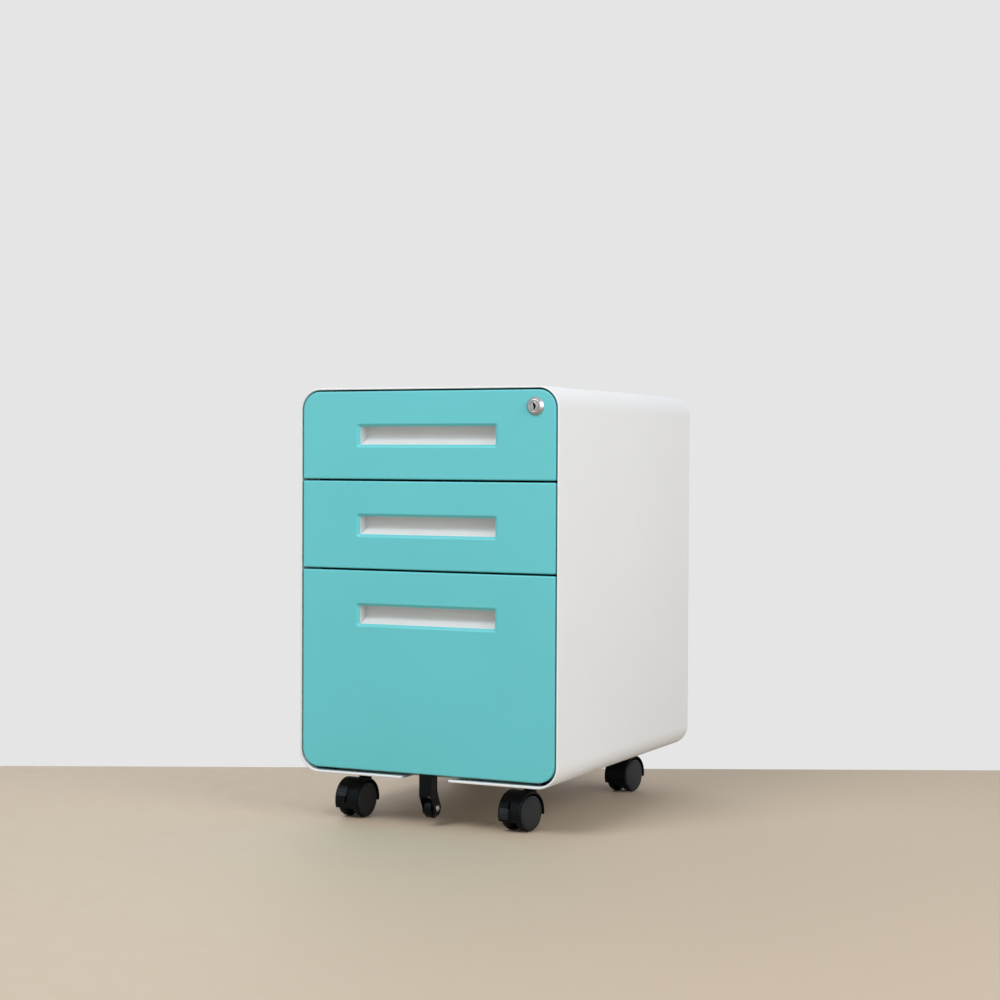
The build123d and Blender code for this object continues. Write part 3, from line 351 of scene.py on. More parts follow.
back_mesh = bmesh.new()
back_inset = CASE_SHEET + BACK_PLAY
back_run = [(back_inset, CASE_BACK - BACK_FLANGE)]
for a in arc(BACK_BEND_STEPS):
    back_run.append((back_inset + BACK_BEND * (1 - cos(a)), CASE_BACK - BACK_BEND * (1 - sin(a))))
back_rings = [case_ring(back_mesh, inset, inset, y) for inset, y in back_run]
skin(back_mesh, back_rings)
back_mesh.faces.new(back_rings[-1])
face_out(back_mesh, Vector((0, 1, 0)))
piece(
    "back_panel_coated", back_mesh, white_coat, "cabinet", "white_coat", ["back_panel"],
    sheet=BACK_SHEET,
)

# Slide posts: two folded zinc-plated uprights welded to each side wall, which carry the slides.
# The sheet is plated before it is folded, so the spangle runs over the bends.
POST_FACE = 183.8 * mm
POST_WALL = 195.8 * mm
POST_SHEET = 1.2 * mm
POST_LOW = 99 * mm
POST_HIGH = 566 * mm
POST_BEND = 2.2 * mm
POST_SPANS = ((-219 * mm, -189 * mm), (139 * mm, 169 * mm))
HANDS = (("left", -1), ("right", 1))
ZINC = (0.60, 0.61, 0.63, 1)
TARNISH_SPAN = (0.35, 0.7)
SPANGLE_TONE = (0.92, 1.04)
SPANGLE_ROUGHNESS = (0.26, 0.40)

# crystals of the plating, a faint drawn grain and a little tarnish
zinc_group, zinc_takes, zinc_end = effect("zinc_plate", Colour=ZINC, Spangle_Scale=180.0, Tarnish=0.10)
spangle = add(
    zinc_group, "ShaderNodeTexVoronoi", Vector=zinc_takes["Place"], Scale=zinc_takes["Spangle Scale"]
)
crystal = add(zinc_group, "ShaderNodeSeparateColor", Color=spangle.outputs["Color"]).outputs
tarnish = noise(zinc_group, zinc_takes, 22.0, Detail=4.0, Roughness=0.6)
tarnish = spread(zinc_group, tarnish, *TARNISH_SPAN, 0, 1)
dull = reckon(zinc_group, "MULTIPLY", tarnish, zinc_takes["Tarnish"])
bright = spread(zinc_group, crystal["Red"], 0, 1, *SPANGLE_TONE)
matt = spread(zinc_group, crystal["Green"], 0, 1, *SPANGLE_ROUGHNESS)
feed(
    zinc_group, zinc_end,
    Colour=toned(zinc_group, zinc_takes["Colour"], reckon(zinc_group, "SUBTRACT", bright, dull)),
    Roughness=reckon(zinc_group, "ADD", matt, dull),
    Height=noise(zinc_group, zinc_takes, 1500.0, Detail=2.0),
)
zinc_steel = finish("zinc_steel", zinc_group, 0.02 * mm, {"Colour": ZINC}, Metallic=1.0)


def bent(path, bend, steps=4):
    """A path with its corners rounded to the bend of folded sheet."""
    out = [Vector(path[0])]
    for before, at, after in zip(path, path[1:], path[2:]):
        before, at, after = Vector(before), Vector(at), Vector(after)
        back = (before - at).normalized()
        on = (after - at).normalized()
        half = back.angle(on) / 2
        reach = bend / tan(half)
        centre = at + (back + on).normalized() * (bend / sin(half))
        start = at + back * reach - centre
        for i in range(steps + 1):
            turned = start.lerp(at + on * reach - centre, i / steps).normalized() * bend
            out.append(centre + turned)
    out.append(Vector(path[-1]))
    return out


def folded(path, sheet, bend):
    """The closed section of a sheet folded along a path, its thickness on the path's left."""
    line = bent(path, bend)
    inner = []
    for i, at in enumerate(line):
        sides = []
        for a, b in ((i - 1, i), (i, i + 1)):
            if a >= 0 and b < len(line):
                run = (line[b] - line[a]).normalized()
                sides.append(Vector((-run.y, run.x)))
        out = sum(sides, Vector((0, 0))).normalized()
        inner.append(at + out * sheet / out.dot(sides[0]))
    return line + inner[::-1]


def capped(bm, ends):
    """A closed body between two rings."""
    skin(bm, ends)
    for end in ends:
        bm.faces.new(end)


def prism(bm, section, axis, low, high):
    """A section drawn across one axis, run along it from low to high."""
    k = "xyz".index(axis)
    capped(bm, [[bm.verts.new((*p[:k], at, *p[k:])) for p in section] for at in (low, high)])


for hand, side in HANDS:
    posts_mesh = bmesh.new()
    for y0, y1 in POST_SPANS:
        path = [(POST_WALL, y1), (POST_FACE, y1), (POST_FACE, y0), (POST_WALL, y0)]
        section = [(side * x, y) for x, y in folded(path, POST_SHEET, POST_BEND)]
        prism(posts_mesh, section, "z", POST_LOW, POST_HIGH)
    piece(
        f"{hand}_slide_posts_plated", posts_mesh, zinc_steel, "cabinet", "zinc_steel",
        [f"{hand}_slide_posts"],
    )

# Caster channels: two folded stiffeners welded across the floor, under which the stems are nutted.
# They are coated with the case.
CHANNEL_HALF = 157 * mm
CHANNEL_DEEP = 28 * mm
CHANNEL_LOW = 66.2 * mm
CHANNEL_HIGH = 78.2 * mm
CHANNEL_SHEET = 1.5 * mm
CHANNEL_BEND = 2.5 * mm
STEM_X = 128 * mm
STEM_FRONT = -185 * mm
STEM_REAR = 189 * mm
for name, y in (("front", STEM_FRONT), ("rear", STEM_REAR)):
    channel_mesh = bmesh.new()
    path = [
        (y - CHANNEL_DEEP, CHANNEL_LOW), (y - CHANNEL_DEEP, CHANNEL_HIGH),
        (y + CHANNEL_DEEP, CHANNEL_HIGH), (y + CHANNEL_DEEP, CHANNEL_LOW),
    ]
    section = folded(path, -CHANNEL_SHEET, CHANNEL_BEND)
    prism(channel_mesh, section, "x", -CHANNEL_HALF, CHANNEL_HALF)
    piece(
        f"{name}_channel_coated", channel_mesh, white_coat, "cabinet", "white_coat",
        [f"{name}_caster_channel"],
    )

# Slides: rolled zinc-plated channels with curled lips, one nested in the next. The outer ones are
# riveted to the posts and the inner ones are screwed to the trays; the file drawer has a third
# pair between them, so that it opens further.
RAIL_SHEET = 1.2 * mm
RAIL_FRONT = -216 * mm
RAIL_BACK = 184 * mm
RAIL_BEND = 2.0 * mm
RAIL_NEST = 5.2 * mm
INNER_LIP_GAP = 2.3 * mm
MIDDLE_WEB_GAP = 2.2 * mm
MIDDLE_LIP_PAST = 0.5 * mm
TRAY_SIDE = 171.1 * mm
LIP_X = 173.3 * mm
CURL = 1.3 * mm
SIDES = (-1, 1)
DRAWERS = {
    "top": {"low": 474.7 * mm, "high": 595.4 * mm, "slide": 514.7 * mm, "half": 17.5 * mm},
    "middle": {"low": 351.2 * mm, "high": 471.9 * mm, "slide": 391.2 * mm, "half": 17.5 * mm},
    "file": {"low": 73.2 * mm, "high": 348.4 * mm, "slide": 203.2 * mm, "half": 22.5 * mm},
}


def strip_pair(
    node, end, path, z, body, sheet=RAIL_SHEET, bend=RAIL_BEND, low=RAIL_FRONT, high=RAIL_BACK
):
    """A left and a right strip folded along one path, which run along the slide from low to high."""
    bm = bmesh.new()
    for side in SIDES:
        section = [(side * x, z + v) for x, v in folded(path, sheet, bend)]
        prism(bm, section, "y", low, high)
    piece(f"{node}_{end}", bm, zinc_steel, body, "zinc_steel", [node])


def open_inwards(web, lip, half):
    """Path of a channel that opens towards the tray, its two lips curled in over the balls."""
    return [
        (lip, CURL - half), (lip + 2 * RAIL_SHEET, -half), (web, -half),
        (web, half), (lip + 2 * RAIL_SHEET, half), (lip, half - CURL),
    ]


for name, d in DRAWERS.items():
    inner_half = d["half"] - RAIL_NEST
    inner_lip = POST_FACE - INNER_LIP_GAP
    outer_path = open_inwards(POST_FACE, LIP_X, d["half"])
    strip_pair(f"{name}_outer_rails", "plated", outer_path, d["slide"], "cabinet")
    if name == "file":
        middle_web = POST_FACE - MIDDLE_WEB_GAP
        middle_path = open_inwards(middle_web, LIP_X - MIDDLE_LIP_PAST, inner_half)
        strip_pair("file_middle_rails", "plated", middle_path, d["slide"], "file_middle_rail_pair")
        inner_half -= RAIL_NEST
        inner_lip = middle_web - INNER_LIP_GAP
    inner_path = [
        (inner_lip, inner_half), (TRAY_SIDE, inner_half),
        (TRAY_SIDE, -inner_half), (inner_lip, -inner_half),
    ]
    strip_pair(f"{name}_inner_rails", "plated", inner_path, d["slide"], f"{name}_drawer")

# Ball cages: thin pressed strips between the rails, with a row of bright steel balls held in each
# of their two edges. They travel half as far as the rail that rolls on them.
CAGE_SHEET = 0.6 * mm
CAGE_BEND = 0.9 * mm
CAGE_PAST_BALLS = 0.4 * mm
CAGE_ENDS = 10 * mm
RACE = 4 * mm
BALL_R = 1.9 * mm
BALL_PITCH = 18 * mm
RAIL_MID = (RAIL_FRONT + RAIL_BACK) / 2
GROWN_SHARP_TURN = 35
ball_steel = finish(
    "ball_steel", zinc_group, 0.005 * mm,
    {"Colour": (0.70, 0.70, 0.71, 1), "Spangle Scale": 60.0, "Tarnish": 0.02}, Metallic=1.0,
)


def shape_tree(name, *numbers):
    """Start a geometry tree that takes points, some named numbers and a finish.

    Returns the tree, the sockets of its inputs and the node that its result goes to.
    """
    tree = bpy.data.node_groups.new(name, "GeometryNodeTree")
    ends = [("Geometry", "INPUT", "Geometry"), *((label, "INPUT", "Float") for label in numbers)]
    ends += [("Finish", "INPUT", "Material"), ("Geometry", "OUTPUT", "Geometry")]
    for label, way, kind in ends:
        tree.interface.new_socket(label, in_out=way, socket_type=f"NodeSocket{kind}")
    return tree, tree.nodes.new("NodeGroupInput").outputs, tree.nodes.new("NodeGroupOutput")


def set_out(tree, takes, end, shape, **aim):
    """Close a geometry tree: one shape on every point, made real and given its finish."""
    placed = add(
        tree, "GeometryNodeInstanceOnPoints", Points=takes["Geometry"], Instance=shape, **aim
    )
    real = add(tree, "GeometryNodeRealizeInstances", Geometry=placed.outputs["Instances"])
    dressed = add(
        tree, "GeometryNodeSetMaterial", Geometry=real.outputs["Geometry"], Material=takes["Finish"]
    )
    feed(tree, end, Geometry=dressed.outputs["Geometry"])


def grow(name, tree, places, values, body, nodes=()):
    """Run a geometry tree on a set of places, each with the way it faces, as one piece on a body."""
    mesh = bpy.data.meshes.new(name)
    mesh.from_pydata([at for at, _ in places], [], [])
    facing = mesh.attributes.new("facing", "FLOAT_VECTOR", "POINT")
    facing.data.foreach_set("vector", [n for _, way in places for n in way])
    made = shown(name, mesh)
    modifier = made.modifiers.new("grown", "NODES")
    modifier.node_group = tree
    for item in tree.interface.items_tree:
        if item.in_out == "INPUT" and item.name in values:
            modifier[item.identifier] = values[item.name]
    settle(made)
    shade(made, GROWN_SHARP_TURN)
    seat(made, body, nodes)


ball_tree, ball_takes, ball_end = shape_tree("bearing_balls", "Ball Radius")
one_ball = add(
    ball_tree, "GeometryNodeMeshIcoSphere", Radius=ball_takes["Ball Radius"], Subdivisions=2
)
set_out(ball_tree, ball_takes, ball_end, one_ball.outputs["Mesh"])

# each cage's name and drawer, how far its web stands off the post, half its gap and its length
CAGES = (
    ("top", "top", 1.4 * mm, 16.3 * mm, 96 * mm),
    ("middle", "middle", 1.4 * mm, 16.3 * mm, 96 * mm),
    ("file_outer", "file", 1.4 * mm, 21.3 * mm, 196 * mm),
    ("file_inner", "file", 3.6 * mm, 16.1 * mm, 196 * mm),
)
for name, drawer, behind, gap, length in CAGES:
    node, body = f"{name}_ball_cages", f"{name}_cages"
    slide_z = DRAWERS[drawer]["slide"]
    race = gap - RACE / 2
    web = POST_FACE - behind
    ball_x = POST_FACE - (behind + CAGE_SHEET + POST_FACE - LIP_X) / 2
    tip = ball_x - RACE / 2 - CAGE_PAST_BALLS
    edge = race + CAGE_SHEET / 2
    path = [(tip, -edge), (web, -edge), (web, edge), (tip, edge)]
    strip_pair(
        node, "strips", path, slide_z, body,
        CAGE_SHEET, CAGE_BEND, RAIL_MID - length / 2, RAIL_MID + length / 2,
    )
    count = int((length - CAGE_ENDS) // BALL_PITCH) + 1
    places = [
        ((side * ball_x, RAIL_MID + (i - (count - 1) / 2) * BALL_PITCH, slide_z + v), (0, 0, 1))
        for side in SIDES for i in range(count) for v in (-race, race)
    ]
    balls = {"Ball Radius": BALL_R, "Finish": ball_steel}
    grow(f"{node}_balls", ball_tree, places, balls, body)

# Slide rivets: zinc-plated steel rivets with flat domed heads inside the posts. The same geometry
# tree also makes the drawers' pan-head screws, with a cross pressed into each head.
POST_MIDS = (-204 * mm, 154 * mm)
CROSS_REACH = 1.1
CROSS_CUT = 1 * mm
head_tree, head_takes, head_end = shape_tree(
    "headed_fasteners", "Head Radius", "Head Height", "Head Squareness", "Shank Radius",
    "Shank Length", "Cross Width", "Cross Depth",
)


def join_xyz(tree, *values):
    """A vector from three sockets or numbers inside a tree."""
    return add(tree, "ShaderNodeCombineXYZ", *values).outputs[0]


# the head: a ball whose upper half is pressed to a dome and whose lower half is flat
head_r, head_h = head_takes["Head Radius"], head_takes["Head Height"]
blank = add(head_tree, "GeometryNodeMeshUVSphere", Segments=24, Rings=16, Radius=head_r)
place = add(head_tree, "GeometryNodeInputPosition").outputs[0]
px, py, pz = add(head_tree, "ShaderNodeSeparateXYZ", place).outputs
across = [reckon(head_tree, "MULTIPLY", n, n) for n in (px, py)]
across = reckon(head_tree, "SQRT", reckon(head_tree, "ADD", *across))
share = reckon(head_tree, "DIVIDE", across, head_r)
fall = reckon(head_tree, "POWER", share, head_takes["Head Squareness"])
rise = reckon(head_tree, "MULTIPLY", head_h, reckon(head_tree, "SUBTRACT", 1.0, fall))
upper = reckon(head_tree, "GREATER_THAN", pz, 0.0)
domed = add(
    head_tree, "GeometryNodeSetPosition", Geometry=blank.outputs["Mesh"],
    Position=join_xyz(head_tree, px, py, reckon(head_tree, "MULTIPLY", rise, upper)),
)

# the cross: two bars cut out of the head
crossed = add(
    head_tree, "GeometryNodeMeshBoolean", operation="DIFFERENCE", Mesh_1=domed.outputs["Geometry"]
)
arm = reckon(head_tree, "MULTIPLY", head_r, CROSS_REACH)
cut_z = reckon(head_tree, "ADD", head_h, CROSS_CUT / 2)
cut_z = reckon(head_tree, "SUBTRACT", cut_z, head_takes["Cross Depth"])
cross_w = head_takes["Cross Width"]
for wide, deep in ((cross_w, arm), (arm, cross_w)):
    bar = add(head_tree, "GeometryNodeMeshCube", Size=join_xyz(head_tree, wide, deep, CROSS_CUT))
    lifted = add(
        head_tree, "GeometryNodeTransform", Geometry=bar.outputs["Mesh"],
        Translation=join_xyz(head_tree, 0.0, 0.0, cut_z),
    )
    feed(head_tree, crossed, Mesh_2=lifted.outputs["Geometry"])

# the shank, and the whole set out to face each hole
shank_l = head_takes["Shank Length"]
shank = add(
    head_tree, "GeometryNodeMeshCylinder", Vertices=20, Radius=head_takes["Shank Radius"], Depth=shank_l
)
sunk = add(
    head_tree, "GeometryNodeTransform", Geometry=shank.outputs["Mesh"],
    Translation=join_xyz(head_tree, 0.0, 0.0, reckon(head_tree, "MULTIPLY", shank_l, -0.5)),
)
whole = add(head_tree, "GeometryNodeJoinGeometry")
for part in (crossed.outputs["Mesh"], sunk.outputs["Geometry"]):
    feed(head_tree, whole, Geometry=part)
facing = add(
    head_tree, "GeometryNodeInputNamedAttribute", data_type="FLOAT_VECTOR", Name="facing"
)
aimed = add(
    head_tree, "FunctionNodeAlignRotationToVector", axis="Z", Vector=facing.outputs["Attribute"]
)
set_out(
    head_tree, head_takes, head_end, whole.outputs["Geometry"], Rotation=aimed.outputs["Rotation"]
)

rivet_places = [
    ((side * (POST_FACE + POST_SHEET), y, d["slide"]), (side, 0, 0))
    for side in SIDES for d in DRAWERS.values() for y in POST_MIDS
]
RIVET = {
    "Head Radius": 4.0 * mm, "Head Height": 2.0 * mm, "Head Squareness": 2.4,
    "Shank Radius": 2.5 * mm, "Shank Length": POST_SHEET + RAIL_SHEET,
    "Cross Width": 0.5 * mm, "Cross Depth": 0.0, "Finish": zinc_steel,
}
grow("slide_rivets_plated", head_tree, rivet_places, RIVET, "cabinet", ["slide_rivets"])

# Trays: folded sheet boxes, white like the case, their top edges hemmed. Each is screwed to its
# drawer front through two ears and to its inner rails through the sides.
MERGE_WITHIN = 0.002 * mm
FLAT_WITHIN = 0.4


def eased_copy(node, end, coat, body, slot, **eased):
    """A piece in a node's own shape, its triangles merged back into the faces that they came from."""
    bm = bmesh.new()
    bm.from_mesh(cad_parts[node].data)
    bmesh.ops.remove_doubles(bm, verts=bm.verts, dist=MERGE_WITHIN)
    bmesh.ops.dissolve_limit(
        bm, angle_limit=radians(FLAT_WITHIN), verts=bm.verts, edges=bm.edges
    )
    piece(f"{node}_{end}", bm, coat, body, slot, [node], **eased)


for name in DRAWERS:
    eased_copy(
        f"{name}_tray", "coated", white_coat, f"{name}_drawer", "white_coat", edge=0.35 * mm
    )

# Hanging-file rails: two flat zinc-plated bars hooked over the file tray's front and back walls,
# which carry the hooks of hanging folders.
eased_copy("hanging_file_rails", "plated", zinc_steel, "file_drawer", "zinc_steel", edge=0.3 * mm)

# Drawer fronts: shallow folded steel pans, teal powder coat, set flush into the case. A tapered
# border is pressed in round each pull opening, and the top one is pierced for the lock.
FRONT_HALF = 192.4 * mm
FRONT_BACK = -228 * mm
FRONT_SHEET = 1.2 * mm
FRONT_RIM = 10 * mm
FRONT_EDGE = 2.0 * mm
FRONT_CORNER = 25.4 * mm
SQUARE_CORNER = 2.2 * mm
LEAST_CORNER = 0.2 * mm
PULL_DROP = 60.9 * mm
BORDER_HALF_W = 107.8 * mm
BORDER_HALF_H = 16.0 * mm
BORDER_CORNER = 4.0 * mm
BORDER_EASE = 0.22
PULL_HALF_W = 103.25 * mm
PULL_HALF_H = 12.3 * mm
PULL_CORNER = 2.0 * mm
PULL_PRESS = 3.5 * mm
LOCK_X = 162.4 * mm
LOCK_Z = 573.1 * mm
LOCK_HOLE = 9.5 * mm
HOLE_STEPS = 40
TEAL = (0.124, 0.562, 0.614, 1)
teal_coat = finish(
    "teal_coat", coat_group, COAT_RELIEF,
    {"Colour": TEAL, "Gloss Roughness": 0.42, "Tone Drift": 0.02},
)
ROUND_ENDS = {"top": (0, 1), "middle": (0, 0), "file": (1, 0)}


def front_ring(bm, d, inset, y, ends):
    """A ring round one front at an inset from its outline, rounded where the case's corners are."""
    radii = [max((FRONT_CORNER if end else SQUARE_CORNER) - inset, LEAST_CORNER) for end in ends]
    points = outline(FRONT_HALF - inset, d["low"] + inset, d["high"] - inset, *radii)
    return ring(bm, points, y)


def pull_ring(bm, z, share, y, steps=8):
    """A ring of the pull's border, from the outer edge at share 0 to the opening at 1."""
    half_w = BORDER_HALF_W + (PULL_HALF_W - BORDER_HALF_W) * share
    half_h = BORDER_HALF_H + (PULL_HALF_H - BORDER_HALF_H) * share
    corner = BORDER_CORNER + (PULL_CORNER - BORDER_CORNER) * share
    return ring(bm, outline(half_w, z - half_h, z + half_h, corner, corner, steps), y)


def closed_edges(bm, verts):
    """The edges round a ring, made where they are missing."""
    out = []
    for i, v in enumerate(verts):
        pair = (v, verts[(i + 1) % len(verts)])
        out.append(bm.edges.get(pair) or bm.edges.new(pair))
    return out


# the pan from its rear rim over both bends, and the border from the flat face down to the opening
front_run = [(FRONT_SHEET + FRONT_RIM, FRONT_BACK)]
front_run += [
    (FRONT_EDGE * (1 - sin(a)), FRONT_BACK - FRONT_EDGE * (1 - cos(a))) for a in arc(4)
]
front_run += [
    (FRONT_EDGE * (1 - cos(a)), CASE_FRONT + FRONT_EDGE * (1 - sin(a))) for a in arc(6)
]
border_run = [
    (-BORDER_EASE + 2 * BORDER_EASE * s, BORDER_EASE * s * s * PULL_PRESS)
    for s in (0.0, 0.25, 0.5, 0.75, 1.0)
]
border_run += [(0.62, 0.62 * PULL_PRESS), (0.88, 0.90 * PULL_PRESS), (1.0, PULL_PRESS)]
for name, d in DRAWERS.items():
    front_mesh = bmesh.new()
    rings = [front_ring(front_mesh, d, inset, y, ROUND_ENDS[name]) for inset, y in front_run]
    skin(front_mesh, rings)
    pull_z = d["high"] - PULL_DROP
    border = [pull_ring(front_mesh, pull_z, share, CASE_FRONT + deep) for share, deep in border_run]
    skin(front_mesh, border)
    rims = closed_edges(front_mesh, rings[-1]) + closed_edges(front_mesh, border[0])
    if name == "top":
        turns = arc(HOLE_STEPS, 2 * pi)[:-1]
        hole = [(LOCK_X + LOCK_HOLE * cos(a), LOCK_Z + LOCK_HOLE * sin(a)) for a in turns]
        rims += closed_edges(front_mesh, ring(front_mesh, hole, CASE_FRONT))
    bmesh.ops.triangle_fill(
        front_mesh, use_beauty=True, use_dissolve=False, edges=rims, normal=(0, -1, 0)
    )
    face_out(front_mesh, Vector((0, -1, 0)))
    piece(
        f"{name}_front_coated", front_mesh, teal_coat, f"{name}_drawer", "teal_coat",
        [f"{name}_front"], sheet=FRONT_SHEET,
    )

# Pull cups: white moulded plastic liners snapped in behind the fronts. The floor slopes up to the
# back, and the roof stands above the opening so that fingers can hook over the pressed border.
CUP_WHITE = (0.685, 0.72, 0.73, 1)
FLOW_GLOSS = 0.06

# the spark-eroded texture of a moulding tool and its slight flow marks
mould_group, mould_takes, mould_end = effect(
    "moulded_plastic", Colour=CUP_WHITE, Gloss_Roughness=0.4, Tone_Drift=0.03, Grain_Scale=1800.0
)
eroded = noise(mould_group, mould_takes, mould_takes["Grain Scale"], Detail=3.0, Roughness=0.6)
flow = noise(mould_group, mould_takes, 40.0, Detail=2.0, Distortion=0.6)
feed(
    mould_group, mould_end, **drifted(mould_group, mould_takes, flow, flow, FLOW_GLOSS), Height=eroded
)
white_plastic = finish(
    "white_plastic", mould_group, 0.02 * mm,
    {"Colour": CUP_WHITE, "Gloss Roughness": 0.38, "Tone Drift": 0.015},
)
for name in DRAWERS:
    eased_copy(
        f"{name}_pull_cup", "moulded", white_plastic, f"{name}_drawer", "white_plastic",
        edge=0.25 * mm,
    )

# Drawer screws: zinc-plated pan heads with a cross, through the trays' sides into the inner rails,
# through the trays' ears into the fronts, and up through the anti-tip bracket into the file front.
TRAY_SHEET = 1.0 * mm
TRAY_RISE = 10 * mm
TRAY_DROP = {"top": 35 * mm, "middle": 35 * mm, "file": 25 * mm}
RAIL_SCREWS = (-171 * mm, 124 * mm)
EAR_X = 186.2 * mm
EAR_SCREW_UP = 16 * mm
EAR_SCREW_DOWN = 8 * mm
TIP_SCREWS = (-243 * mm, -232 * mm)
TIP_SHEET = 1.5 * mm
SCREW = {
    "Head Radius": 3.5 * mm, "Head Height": 1.8 * mm, "Head Squareness": 3.6,
    "Shank Radius": 1.75 * mm, "Shank Length": 3.2 * mm,
    "Cross Width": 0.8 * mm, "Cross Depth": 1.0 * mm, "Finish": zinc_steel,
}
for name, d in DRAWERS.items():
    ear_heights = (d["low"] + TRAY_RISE + EAR_SCREW_UP, d["high"] - TRAY_DROP[name] - EAR_SCREW_DOWN)
    places = [
        ((side * (TRAY_SIDE - TRAY_SHEET), y, d["slide"]), (-side, 0, 0))
        for side in SIDES for y in RAIL_SCREWS
    ]
    places += [
        ((side * EAR_X, FRONT_BACK + TRAY_SHEET, z), (0, 1, 0))
        for side in SIDES for z in ear_heights
    ]
    if name == "file":
        places += [((0, y, d["low"] - TIP_SHEET), (0, 0, -1)) for y in TIP_SCREWS]
    grow(
        f"{name}_drawer_screws_plated", head_tree, places, SCREW, f"{name}_drawer",
        [f"{name}_drawer_screws"],
    )

# Lock: a chromed zinc casting with a conical bezel outside the front and a barrel through it,
# clamped by a hexagon nut. The plug turns inside it and has a stepped keyway.
BEZEL_R = 12.6 * mm
BEZEL_FACE_R = 8.6 * mm
BEZEL_HIGH = 4.6 * mm
BARREL_R = 9.3 * mm
BARREL_BACK = 21 * mm
PLUG_R = 6.5 * mm
PLUG_SEAT = 6.56 * mm
PLUG_FRONT = 4.1 * mm
PLUG_BACK = 21.4 * mm
PLUG_EDGE = 0.3 * mm
KEYWAY_DEEP = 4.0 * mm
LOCK_AT = (LOCK_X, CASE_FRONT, LOCK_Z)
LOCK_AXIS = (0, -1, 0)
CHROME = (0.47, 0.47, 0.48, 1)
CHROME_TONE = (0.92, 1.06)
CHROME_ROUGHNESS = 0.30

# turned rings round the lock's axis, with polishing haze
chrome_group, chrome_takes, chrome_end = effect(
    "turned_chrome", Colour=CHROME, Ring_Scale=900.0, Haze=0.12
)
turned = add(
    chrome_group, "ShaderNodeTexWave", wave_type="RINGS", rings_direction="Y", Distortion=0.4,
    Vector=chrome_takes["Place"], Scale=chrome_takes["Ring Scale"],
)
haze = noise(chrome_group, chrome_takes, 260.0, Detail=3.0)
polish = spread(chrome_group, haze, *NOISE_SPAN, *CHROME_TONE)
feed(
    chrome_group, chrome_end, Colour=toned(chrome_group, chrome_takes["Colour"], polish),
    Roughness=reckon(chrome_group, "MULTIPLY_ADD", haze, chrome_takes["Haze"], CHROME_ROUGHNESS),
    Height=turned.outputs["Fac"],
)
lock_chrome = finish(
    "lock_chrome", chrome_group, 0.004 * mm, {"Colour": CHROME, "Ring Scale": 700.0},
    centre=LOCK_AT, Metallic=1.0,
)


def lathe(bm, run, centre, axis, steps=64, closed=False):
    """A run of (along, radius) points turned round an axis; a radius of 0 closes to a point."""
    axis = Vector(axis).normalized()
    up = Vector((0, 0, 1))
    out = up.cross(axis).normalized()
    spokes = [out * cos(a) + up * sin(a) for a in arc(steps, 2 * pi)[:-1]]
    rows = []
    for along, radius in run:
        mid = Vector(centre) + axis * along
        reach = spokes if radius else spokes[:1]
        rows.append([bm.verts.new(mid + spoke * radius) for spoke in reach])
    for a, b in zip(rows, rows[1:] + (rows[:1] if closed else [])):
        for i in range(steps):
            j = (i + 1) % steps
            corners = [a[i % len(a)], a[j % len(a)], b[j % len(b)], b[i % len(b)]]
            corners = list(dict.fromkeys(corners))
            if len(corners) > 2:
                bm.faces.new(corners)
    return rows


# the body's section, from the barrel's back end round the bezel and into the plug's seat
body_run = [
    (-BARREL_BACK, PLUG_SEAT), (-BARREL_BACK, BARREL_R), (0, BARREL_R), (0, BEZEL_R),
    (0.5 * mm, BEZEL_R), (0.8 * mm, BEZEL_R - 0.25 * mm), (3.9 * mm, BEZEL_FACE_R + 0.75 * mm),
    (4.35 * mm, BEZEL_FACE_R + 0.3 * mm), (BEZEL_HIGH, BEZEL_FACE_R - 0.2 * mm),
    (BEZEL_HIGH, 7.3 * mm), (4.4 * mm, 6.9 * mm), (3.6 * mm, PLUG_SEAT),
]
body_mesh = bmesh.new()
lathe(body_mesh, body_run, LOCK_AT, LOCK_AXIS, closed=True)
piece("lock_body_chromed", body_mesh, lock_chrome, "top_drawer", "chrome", ["lock_body"])
eased_copy("lock_nut", "plated", zinc_steel, "top_drawer", "zinc_steel", edge=0.3 * mm)

# the plug, and the outline of its keyway in millimetres from the lock's axis
KEYWAY = (
    (-2.3, 4.7), (0.0, 4.2), (2.7, 0.7), (2.2, -1.5),
    (0.7, -4.3), (-1.5, -3.9), (-0.5, -0.9), (-1.7, 1.9),
)
# the keyway's walls and floor take a near-black finish: painted shade for the dark inside of the slot,
# not a colour of the plug's metal
keyway_painted_shade = finish(
    "keyway_painted_shade", coat_group, 0.02 * mm,
    {"Colour": (0.004, 0.004, 0.004, 1), "Gloss Roughness": 0.6}, Specular_IOR_Level=0.1,
)
plug_run = [
    (-PLUG_BACK, 0), (-PLUG_BACK, PLUG_R), (PLUG_FRONT - PLUG_EDGE, PLUG_R),
    (PLUG_FRONT, PLUG_R - 0.35 * mm),
]
plug_mesh = bmesh.new()
plug_rows = lathe(plug_mesh, plug_run, LOCK_AT, LOCK_AXIS)
keyway = [(LOCK_X + x * mm, LOCK_Z + z * mm) for x, z in KEYWAY]
mouth = ring(plug_mesh, keyway, CASE_FRONT - PLUG_FRONT)
foot = [plug_mesh.verts.new(v.co + Vector((0, KEYWAY_DEEP, 0))) for v in mouth]
skin(plug_mesh, [mouth, foot])
plug_mesh.faces.new(foot)
# faces inside the keyway take the painted-shade finish
for face in plug_mesh.faces:
    face.material_index = int(all(v in mouth or v in foot for v in face.verts))
bmesh.ops.triangle_fill(
    plug_mesh, use_beauty=True, use_dissolve=False, normal=(0, -1, 0),
    edges=closed_edges(plug_mesh, plug_rows[-1]) + closed_edges(plug_mesh, mouth),
)
piece(
    "lock_plug_chromed", plug_mesh, lock_chrome, "lock_cylinder", "chrome", ["lock_plug"],
    inside=keyway_painted_shade,
)
eased_copy("lock_cam", "plated", zinc_steel, "lock_cylinder", "zinc_steel", edge=0.2 * mm)

